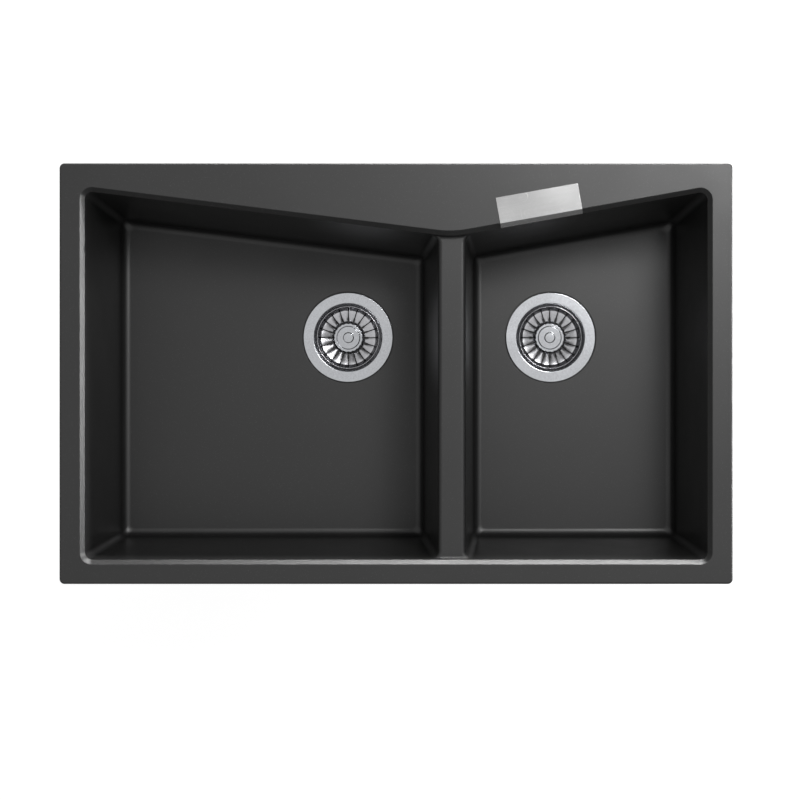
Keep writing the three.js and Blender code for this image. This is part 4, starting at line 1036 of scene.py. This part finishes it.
def bolt_nut():
    low, high = BODY_HUB_BOTTOM, BODY_HUB_BOTTOM + NUT_HEIGHT
    nut = eased_prism(circle(NUT_RADIUS, NUT_SIDES), low, high, 0.4)
    return drilled(nut, BORE, low - THROUGH, 0)


# ---- strainer basket

BASKET_RIM_OUTER = CUP_RADIUS - BASKET_RIM_CLEARANCE
STEM_TOP = -BASKET_FLOOR_DEPTH - BASKET_SHEET - GAP
SLOT_ZERO = pi / 2  # the first slot points to the back of the sink


def dish_height(radius):
    """The dish's upper side: flat in the middle, then a slope up to the shoulder."""
    rise = BASKET_FLOOR_DEPTH - BASKET_SHOULDER_DEPTH
    slope = rise / (BASKET_SHOULDER_RADIUS - BASKET_FLOOR_RADIUS)
    beyond = radius - BASKET_FLOOR_RADIUS
    return -BASKET_FLOOR_DEPTH + slope * (beyond + sqrt(beyond**2 + BASKET_FLOOR_BLEND**2)) / 2


def slot_half_width(radius):
    """A slot starts wide, narrows past its waist and is rounded at both ends."""
    share = (radius - SLOT_WAIST_RADIUS) / (SLOT_NARROW_RADIUS - SLOT_WAIST_RADIUS)
    half = (SLOT_WIDTH + (SLOT_NARROW_WIDTH - SLOT_WIDTH) * min(max(share, 0), 1)) / 2
    from_end = min(radius - SLOT_INNER_RADIUS, SLOT_OUTER_RADIUS - radius)
    return sqrt(max(half**2 - max(half - from_end, 0) ** 2, 0))


def petal_crown(radius):
    """How far a petal is pressed up along its middle."""
    from_edge = min(radius - SLOT_INNER_RADIUS, BASKET_SHOULDER_RADIUS - radius)
    return PETAL_CROWN * min(max(from_edge / PETAL_CROWN_EDGE, 0), 1)


def basket_rows():
    """The sheet's upper side from the hole to the slots' ends, how many rows of it are plain,
    and its underside."""
    plain = [CAP_POST_RADIUS + GAP, *PLAIN_ROWS]
    cone = [SLOT_INNER_RADIUS + reach for reach in SLOT_START_ROWS] + list(CONE_ROWS)
    foot = Vector((BASKET_SHOULDER_RADIUS, dish_height(BASKET_SHOULDER_RADIUS)))
    brim = Vector((BASKET_WALL_TOP, -BASKET_RIM_TOP - BASKET_BEAD))
    upper = [Vector((r, dish_height(r))) for r in plain + cone]
    upper += corner_arc(upper[-1], foot, brim, BASKET_SHOULDER_ROUND, BASKET_SHOULDER_STEPS)
    wall = [WALL_ROW, *[SLOT_OUTER_RADIUS - short for short in SLOT_END_ROWS]]
    upper += [foot.lerp(brim, (r - foot.x) / (brim.x - foot.x)) for r in wall]
    under = []
    for point, before, after in zip(upper, upper[:1] + upper, upper[1:] + upper[-1:]):
        along = (after - before).normalized()
        under.append(point + Vector((along.y, -along.x)) * BASKET_SHEET)
    return upper, len(plain), under


def basket(material):
    """One petal between two slots, repeated round the axis."""
    upper, plain, under = basket_rows()
    bead, top = BASKET_WALL_TOP + BASKET_BEAD, -BASKET_RIM_TOP - BASKET_BEAD
    rim, skirt_end = arc((bead, top), BASKET_BEAD, 180, 30, FILLET_STEPS), top - BASKET_SKIRT_DROP
    rim += [(BASKET_RIM_OUTER, skirt_end + BASKET_SKIRT_EDGE), (BASKET_RIM_OUTER, skirt_end)]
    rim.append((BASKET_RIM_OUTER - BASKET_SKIRT_SHEET, skirt_end))
    rim.append((bead + BASKET_SKIRT_EDGE, top - BASKET_BEAD * 2))

    shapes = [(slot_half_width(point.x), petal_crown(point.x)) for point in upper]
    rows = [(*point, *shape) for point, shape in zip(upper, shapes)]
    rows += [(*point, 0, 0) for point in rim]
    rows += [(*point, *shape) for point, shape in zip(under[::-1], shapes[::-1])]

    pitch, columns, count = 2 * pi / SLOT_COUNT, PETAL_COLUMNS + 1, len(rows)
    vertices, faces = [], []
    for radius, z, half, crown in rows:
        limit = pitch / 2 - asin(half / radius)
        for column in range(columns):
            v = 2 * column / PETAL_COLUMNS - 1
            angle = SLOT_ZERO + pitch / 2 + v * limit
            vertices.append((radius * cos(angle), radius * sin(angle), z + crown * (1 - v**2)))
    for row in range(count):
        a, b = row * columns, (row + 1) % count * columns
        faces += [[a + i, a + i + 1, b + i + 1, b + i] for i in range(PETAL_COLUMNS)]
    for row in range(plain, len(upper) - 1):
        for column in (0, PETAL_COLUMNS):
            edge = [row, row + 1, count - 2 - row, count - 1 - row]
            side = [level * columns + column for level in edge]
            faces.append(side if column else side[::-1])
    ring = {"Count": SLOT_COUNT, "Weld": 0.01 * MM, "Material": material}
    return face_outwards(grow(new_piece(vertices, faces), RING_OF_COPIES, **ring))


def scalloped(radius, angle):
    """The cap's edge is nicked over every slot."""
    reach = max(radius - CAP_RING_RADIUS, 0) / (CAP_RADIUS - CAP_RING_RADIUS)
    lobe = abs(sin((angle - SLOT_ZERO) * SLOT_COUNT / 2))
    return radius - CAP_SCALLOP * reach * (1 - lobe**CAP_SCALLOP_POWER)


def basket_cap():
    """A cap in three terraces."""
    top, bottom = -CAP_TOP_DEPTH, -CAP_TOP_DEPTH - CAP_THICKNESS
    middle, low = top - CAP_STEP, top - 2 * CAP_STEP
    neck_bottom, post_end = -BASKET_FLOOR_DEPTH + GAP, STEM_TOP - CAP_POST_LENGTH
    corners = [
        (0, post_end), (CAP_POST_RADIUS, post_end, 0.5), (CAP_POST_RADIUS, neck_bottom),
        (CAP_NECK_RADIUS, neck_bottom, 0.6), (CAP_NECK_RADIUS, bottom, 0.8),
        (CAP_RADIUS - 0.6, bottom, 0.3), (CAP_RADIUS, low - 0.4, 0.3), (CAP_RADIUS - 0.5, low, 0.4),
        (CAP_RING_RADIUS + CAP_FALL, low, 0.4), (CAP_RING_RADIUS - CAP_FALL, middle, 0.4),
        (CAP_BUTTON_RADIUS + CAP_FALL, middle, 0.4), (CAP_BUTTON_RADIUS - CAP_FALL, top, 0.4),
        (0, top),
    ]
    return lathe(corners, CAP_SIDES, reshape=scalloped)


STOPPER_SEAL_RADIUS = SEAT_RADIUS - STOPPER_SEAL_CLEARANCE
STOPPER_SEAL_BOTTOM = -SEAT_DEPTH + GAP
STOPPER_SEAL_TOP = STOPPER_SEAL_BOTTOM + STOPPER_SEAL_THICKNESS


def stopper_stem():
    pin, pin_end = BOLT_SOCKET_RADIUS - GAP, SOCKET_FLOOR + GAP
    hub, hub_bottom, plate = STEM_HUB_RADIUS, BOLT_HEAD_TOP + GAP, STEM_TOP - STEM_PLATE_THICKNESS
    seal_inner = STOPPER_SEAL_RADIUS - STOPPER_SEAL_GRIP - GAP
    seal_bottom, seal_top = STOPPER_SEAL_BOTTOM, STOPPER_SEAL_TOP + GAP
    skirt, edge = seal_inner - STOPPER_SEAL_GRIP, STEM_PLATE_RADIUS + STOPPER_SEAL_GRIP
    socket, socket_floor = CAP_POST_RADIUS + GAP, STEM_TOP - CAP_POST_LENGTH - GAP
    corners = [
        (0, pin_end), (pin, pin_end, 0.4), (pin, hub_bottom), (hub, hub_bottom, 0.5),
        (hub, plate, 1), (skirt, plate, 1), (skirt, seal_bottom, 0.5), (seal_inner, seal_bottom, 0.3),
        (seal_inner, seal_top), (edge, seal_top, 0.4), (edge, plate, 1),
        (STEM_PLATE_RADIUS, STEM_TOP, 1), (socket, STEM_TOP, 0.3), (socket, socket_floor),
        (0, socket_floor),
    ]
    return lathe(corners, HIDDEN_SIDES)


def stopper_seal():
    outer, low, high = STOPPER_SEAL_RADIUS, STOPPER_SEAL_BOTTOM, STOPPER_SEAL_TOP
    return turned_ring(outer, outer - STOPPER_SEAL_GRIP, low, high, 0.7, HIDDEN_SIDES)


# ---- rim clips

# Made with the screw at the origin and the arm's toe along +X.

ARM_TOP = -TOE_BELOW_WORKTOP - ARM_TOE_HEIGHT + ARM_SHEET
ARM_BOTTOM = ARM_TOP - ARM_SHEET
SCREW_HEAD_TOP = ARM_BOTTOM - GAP


def knurled(radius, angle):
    """The insert's outside is ridged, its bore is round."""
    if radius <= SCREW_RADIUS + 2 * GAP:
        return radius
    return radius - INSERT_KNURL * (1 - cos(INSERT_RIDGES * angle))


def clip_insert():
    bore, radius = SCREW_RADIUS + GAP, INSERT_RADIUS
    corners = [(bore, INSERT_BOTTOM, 0.2), (radius, INSERT_BOTTOM, 0.3)]
    corners += [(radius, INSERT_TOP, 0.3), (bore, INSERT_TOP, 0.2)]
    return lathe(corners, KNURL_SIDES, reshape=knurled)


def clip_screw(material):
    bottom, top, head = SCREW_HEAD_TOP - SCREW_HEAD_HEIGHT, SCREW_HEAD_TOP, SCREW_HEAD_RADIUS
    core, crown, half = SCREW_RADIUS - SCREW_RIDGE, SCREW_HEAD_HEIGHT / 2, SCREW_SLOT_WIDTH / 2
    corners = [
        (0, bottom), (head, bottom, crown), (head, top, 0.2), (SCREW_RADIUS, top),
        (SCREW_RADIUS, ARM_TOP), (core, ARM_TOP), (core, SCREW_TOP, 0.5), (0, SCREW_TOP),
    ]
    slot = block((-head - 1, -half, bottom - THROUGH), (head + 1, half, bottom + crown))
    low, high = ARM_TOP + THREAD_START, SCREW_TOP - THREAD_START
    ridge = thread(SCREW_RADIUS, SCREW_PITCH, SCREW_RIDGE, low, high, material)
    return gather([cut(lathe(corners, SMALL_SIDES), slot), ridge])


def clip_arm():
    """A strip bent up at the toe and rounded about the screw."""
    half, toe, toe_top = ARM_WIDTH / 2, ARM_LENGTH - ARM_SHEET, ARM_BOTTOM + ARM_TOE_HEIGHT
    corners = [
        (-half - 1, ARM_BOTTOM), (ARM_LENGTH, ARM_BOTTOM, ARM_SHEET * 1.5), (ARM_LENGTH, toe_top),
        (toe, toe_top), (toe, ARM_TOP, ARM_SHEET / 2), (-half - 1, ARM_TOP),
    ]
    section = rounded_profile(corners, steps=6)
    strip = through_rings([[(x, y, z) for x, z in section] for y in (-half, half)])
    outside = half + 1e-3  # keeps the plan's long edges off the strip's sides
    plan = [Vector(p) for p in arc((0, 0), half, 90, 270, ARM_END_STEPS)]
    plan[0].y, plan[-1].y = outside, -outside
    plan += [Vector((ARM_LENGTH + 1, y)) for y in (-outside, outside)]
    combine(strip, [prism(plan, ARM_BOTTOM - 1, toe_top + 1)], "INTERSECT")
    drilled(strip, SCREW_RADIUS + GAP, ARM_BOTTOM - THROUGH, ARM_TOP + THROUGH)
    return soften(strip, ARM_EDGE_ROUND, 40)


# ---- assembly

MOULDED = {
    "rubber": ("seal_rubber", 0.0, shade(0.014), shade(0.022), 0.7, 0.02),
    "black_plastic": ("black_plastic", 0.0, shade(0.016), shade(0.022), 0.5, 0.012),
    "zinc_steel": ("zinc_plate", 1.0, (0.46, 0.48, 0.51, 1), (0.56, 0.57, 0.58, 1), 0.36, 0.01),
    "brass": ("plain_brass", 1.0, (0.56, 0.4, 0.17, 1), (0.66, 0.5, 0.23, 1), 0.32, 0.01),
}
TURNED = {  # tint, roughness, ring scale, depth of the rings
    "flange_steel": ((0.48, 0.49, 0.51), 0.2, 2600, 0.02),
    "basket_steel": ((0.52, 0.52, 0.54), 0.23, 1500, 0.02),
    "cap_steel": ((0.46, 0.47, 0.49), 0.19, 3400, 0.02),
    "bolt_steel": ((0.56, 0.56, 0.58), 0.32, 2400, 0.01),
}
looks = {slot: moulded_material(*look) for slot, look in MOULDED.items()}
looks["composite"] = composite_material()
looks["badge_steel"] = badge_material(DIVIDER_X, NOSE_Y, RIGHT_EDGE_TURN)


def finished(piece, node, body, slot):
    """Names and shades a finished piece and ties it to its body and the node it stands for."""
    piece.name = f"{node}_finished"
    piece.data.materials.clear()
    piece.data.materials.append(looks[slot])
    smooth(piece)
    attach(piece, body)
    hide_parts(node)


finished(sink_body(), "sink_body", "root", "composite")
finished(rim_band(SEAL_WIDTH, 0, SEAL_THICKNESS), "rim_seal", "root", "rubber")
finished(badge_plate(), "badge_plate", "root", "badge_steel")

for side, middle in WASTES.items():
    for slot, look in TURNED.items():
        looks[slot] = turned_metal(f"{side}_{slot}", middle, *look)
    stopper, strainer = f"{side}_stopper", f"{side}_strainer"
    outlet = [
        (flange_cup(), "flange_cup", "root", "flange_steel"),
        (flange_gasket(), "flange_gasket", "root", "rubber"),
        (lower_seal(), "lower_seal", "root", "rubber"),
        (waste_body(looks["black_plastic"]), "waste_body", "root", "black_plastic"),
        (centre_bolt(looks["bolt_steel"]), "centre_bolt", "root", "bolt_steel"),
        (bolt_nut(), "bolt_nut", "root", "brass"),
        (stopper_stem(), "stopper_stem", stopper, "black_plastic"),
        (stopper_seal(), "stopper_seal", stopper, "rubber"),
        (basket(looks["basket_steel"]), "basket", strainer, "basket_steel"),
        (basket_cap(), "basket_cap", strainer, "cap_steel"),
    ]
    for piece, node, body, slot in outlet:
        finished(place(piece, *middle, BOWL_FLOOR), f"{side}_{node}", body, slot)

for clip, (x, y, outward) in CLIPS.items():
    screw, arm = f"{clip}_screw", f"{clip}_arm"
    finished(place(clip_insert(), x, y), f"{clip}_insert", "root", "brass")
    finished(place(clip_screw(looks["zinc_steel"]), x, y), screw, screw, "zinc_steel")
    finished(place(clip_arm(), x, y, turn=outward + pi / 2), arm, arm, "zinc_steel")

# ---- studio

ROOM_HEIGHTS, ROOM_LEVELS = (0.2, 0.95), (0.3, 0.86)
FLOOR_HALF, FLOOR_BELOW_TAILS = 30000, 0.5


def white_where_seen(tree):
    """1 for the camera and for what metal and glass mirror, 0 for light on the object."""
    path = add_node(tree, "ShaderNodeLightPath").outputs
    seen = calculate(tree, "MAXIMUM", path["Is Camera Ray"], path["Is Glossy Ray"])
    return calculate(tree, "MAXIMUM", seen, path["Is Transmission Ray"])


world = bpy.data.worlds.new("studio")
bpy.context.scene.world = world
world.use_nodes = True
sky = world.node_tree
sky.nodes.clear()
# The room is dim at eye level and bright above.
towards = add_node(sky, "ShaderNodeTexCoord").outputs["Object"]
height = add_node(sky, "ShaderNodeSeparateXYZ", {"Vector": towards}).outputs[2]
level = map_range(sky, height, ROOM_HEIGHTS, ROOM_LEVELS, interpolation_type="SMOOTHSTEP")
room = output_of(sky, "ShaderNodeBackground", {"Color": (1, 1, 1, 1), "Strength": level})
add_node(sky, "ShaderNodeOutputWorld", {"Surface": room})


def softbox(name, location, size, power, target):
    lamp = bpy.data.lights.new(name, "AREA")
    lamp.shape = "RECTANGLE"
    lamp.size, lamp.size_y = size
    lamp.energy = power
    holder = add_object(lamp)
    holder.location = location
    direction = Vector(target) - Vector(location)
    holder.rotation_euler = direction.to_track_quat("-Z", "Y").to_euler()
    holder.visible_camera = False


softbox("right_softbox", (1.7, 0.25, 0.03), (0.9, 0.1), 54, (0, 0, 0))
softbox("back_softbox", (0.5, 1.7, 0.07), (1.5, 0.18), 82, (0, 0, 0))
softbox("overhead_softbox", (0.78, 0.82, 2.0), (0.6, 0.6), 30, (0.1, 0.1, 0))

floor_z = BOWL_FLOOR + TAIL_END - FLOOR_BELOW_TAILS
corners = [(x * FLOOR_HALF, y * FLOOR_HALF, floor_z) for x, y in SQUARE]
floor = new_piece(corners, [(0, 1, 2, 3)])
floor.name = "studio_floor"
if floor.data.polygons[0].normal.z < 0:
    floor.data.flip_normals()
floor_material = bpy.data.materials.new("studio_floor")
floor_material.use_nodes = True
paint = floor_material.node_tree
shader = paint.nodes["Principled BSDF"]
shader.inputs["Base Color"].default_value = (0.9, 0.9, 0.9, 1)
shader.inputs["Roughness"].default_value = 0.9
shader.inputs["Specular IOR Level"].default_value = 0.1
lit = output_of(paint, "ShaderNodeBsdfDiffuse", {"Color": (0.15, 0.15, 0.15, 1)})
glow = output_of(paint, "ShaderNodeEmission", {"Color": (1, 1, 1, 1), "Strength": 0.9})
pale = output_of(paint, "ShaderNodeAddShader", {0: lit, 1: glow})
links = {0: white_where_seen(paint), 1: shader.outputs[0], 2: pale}
mixed = output_of(paint, "ShaderNodeMixShader", links)
# From below the floor is clear, so that the underside can be seen.
behind = add_node(paint, "ShaderNodeNewGeometry").outputs["Backfacing"]
links = {0: behind, 1: mixed, 2: output_of(paint, "ShaderNodeBsdfTransparent")}
surface = output_of(paint, "ShaderNodeMixShader", links)
paint.links.new(surface, paint.nodes["Material Output"].inputs["Surface"])
floor.data.materials.append(floor_material)
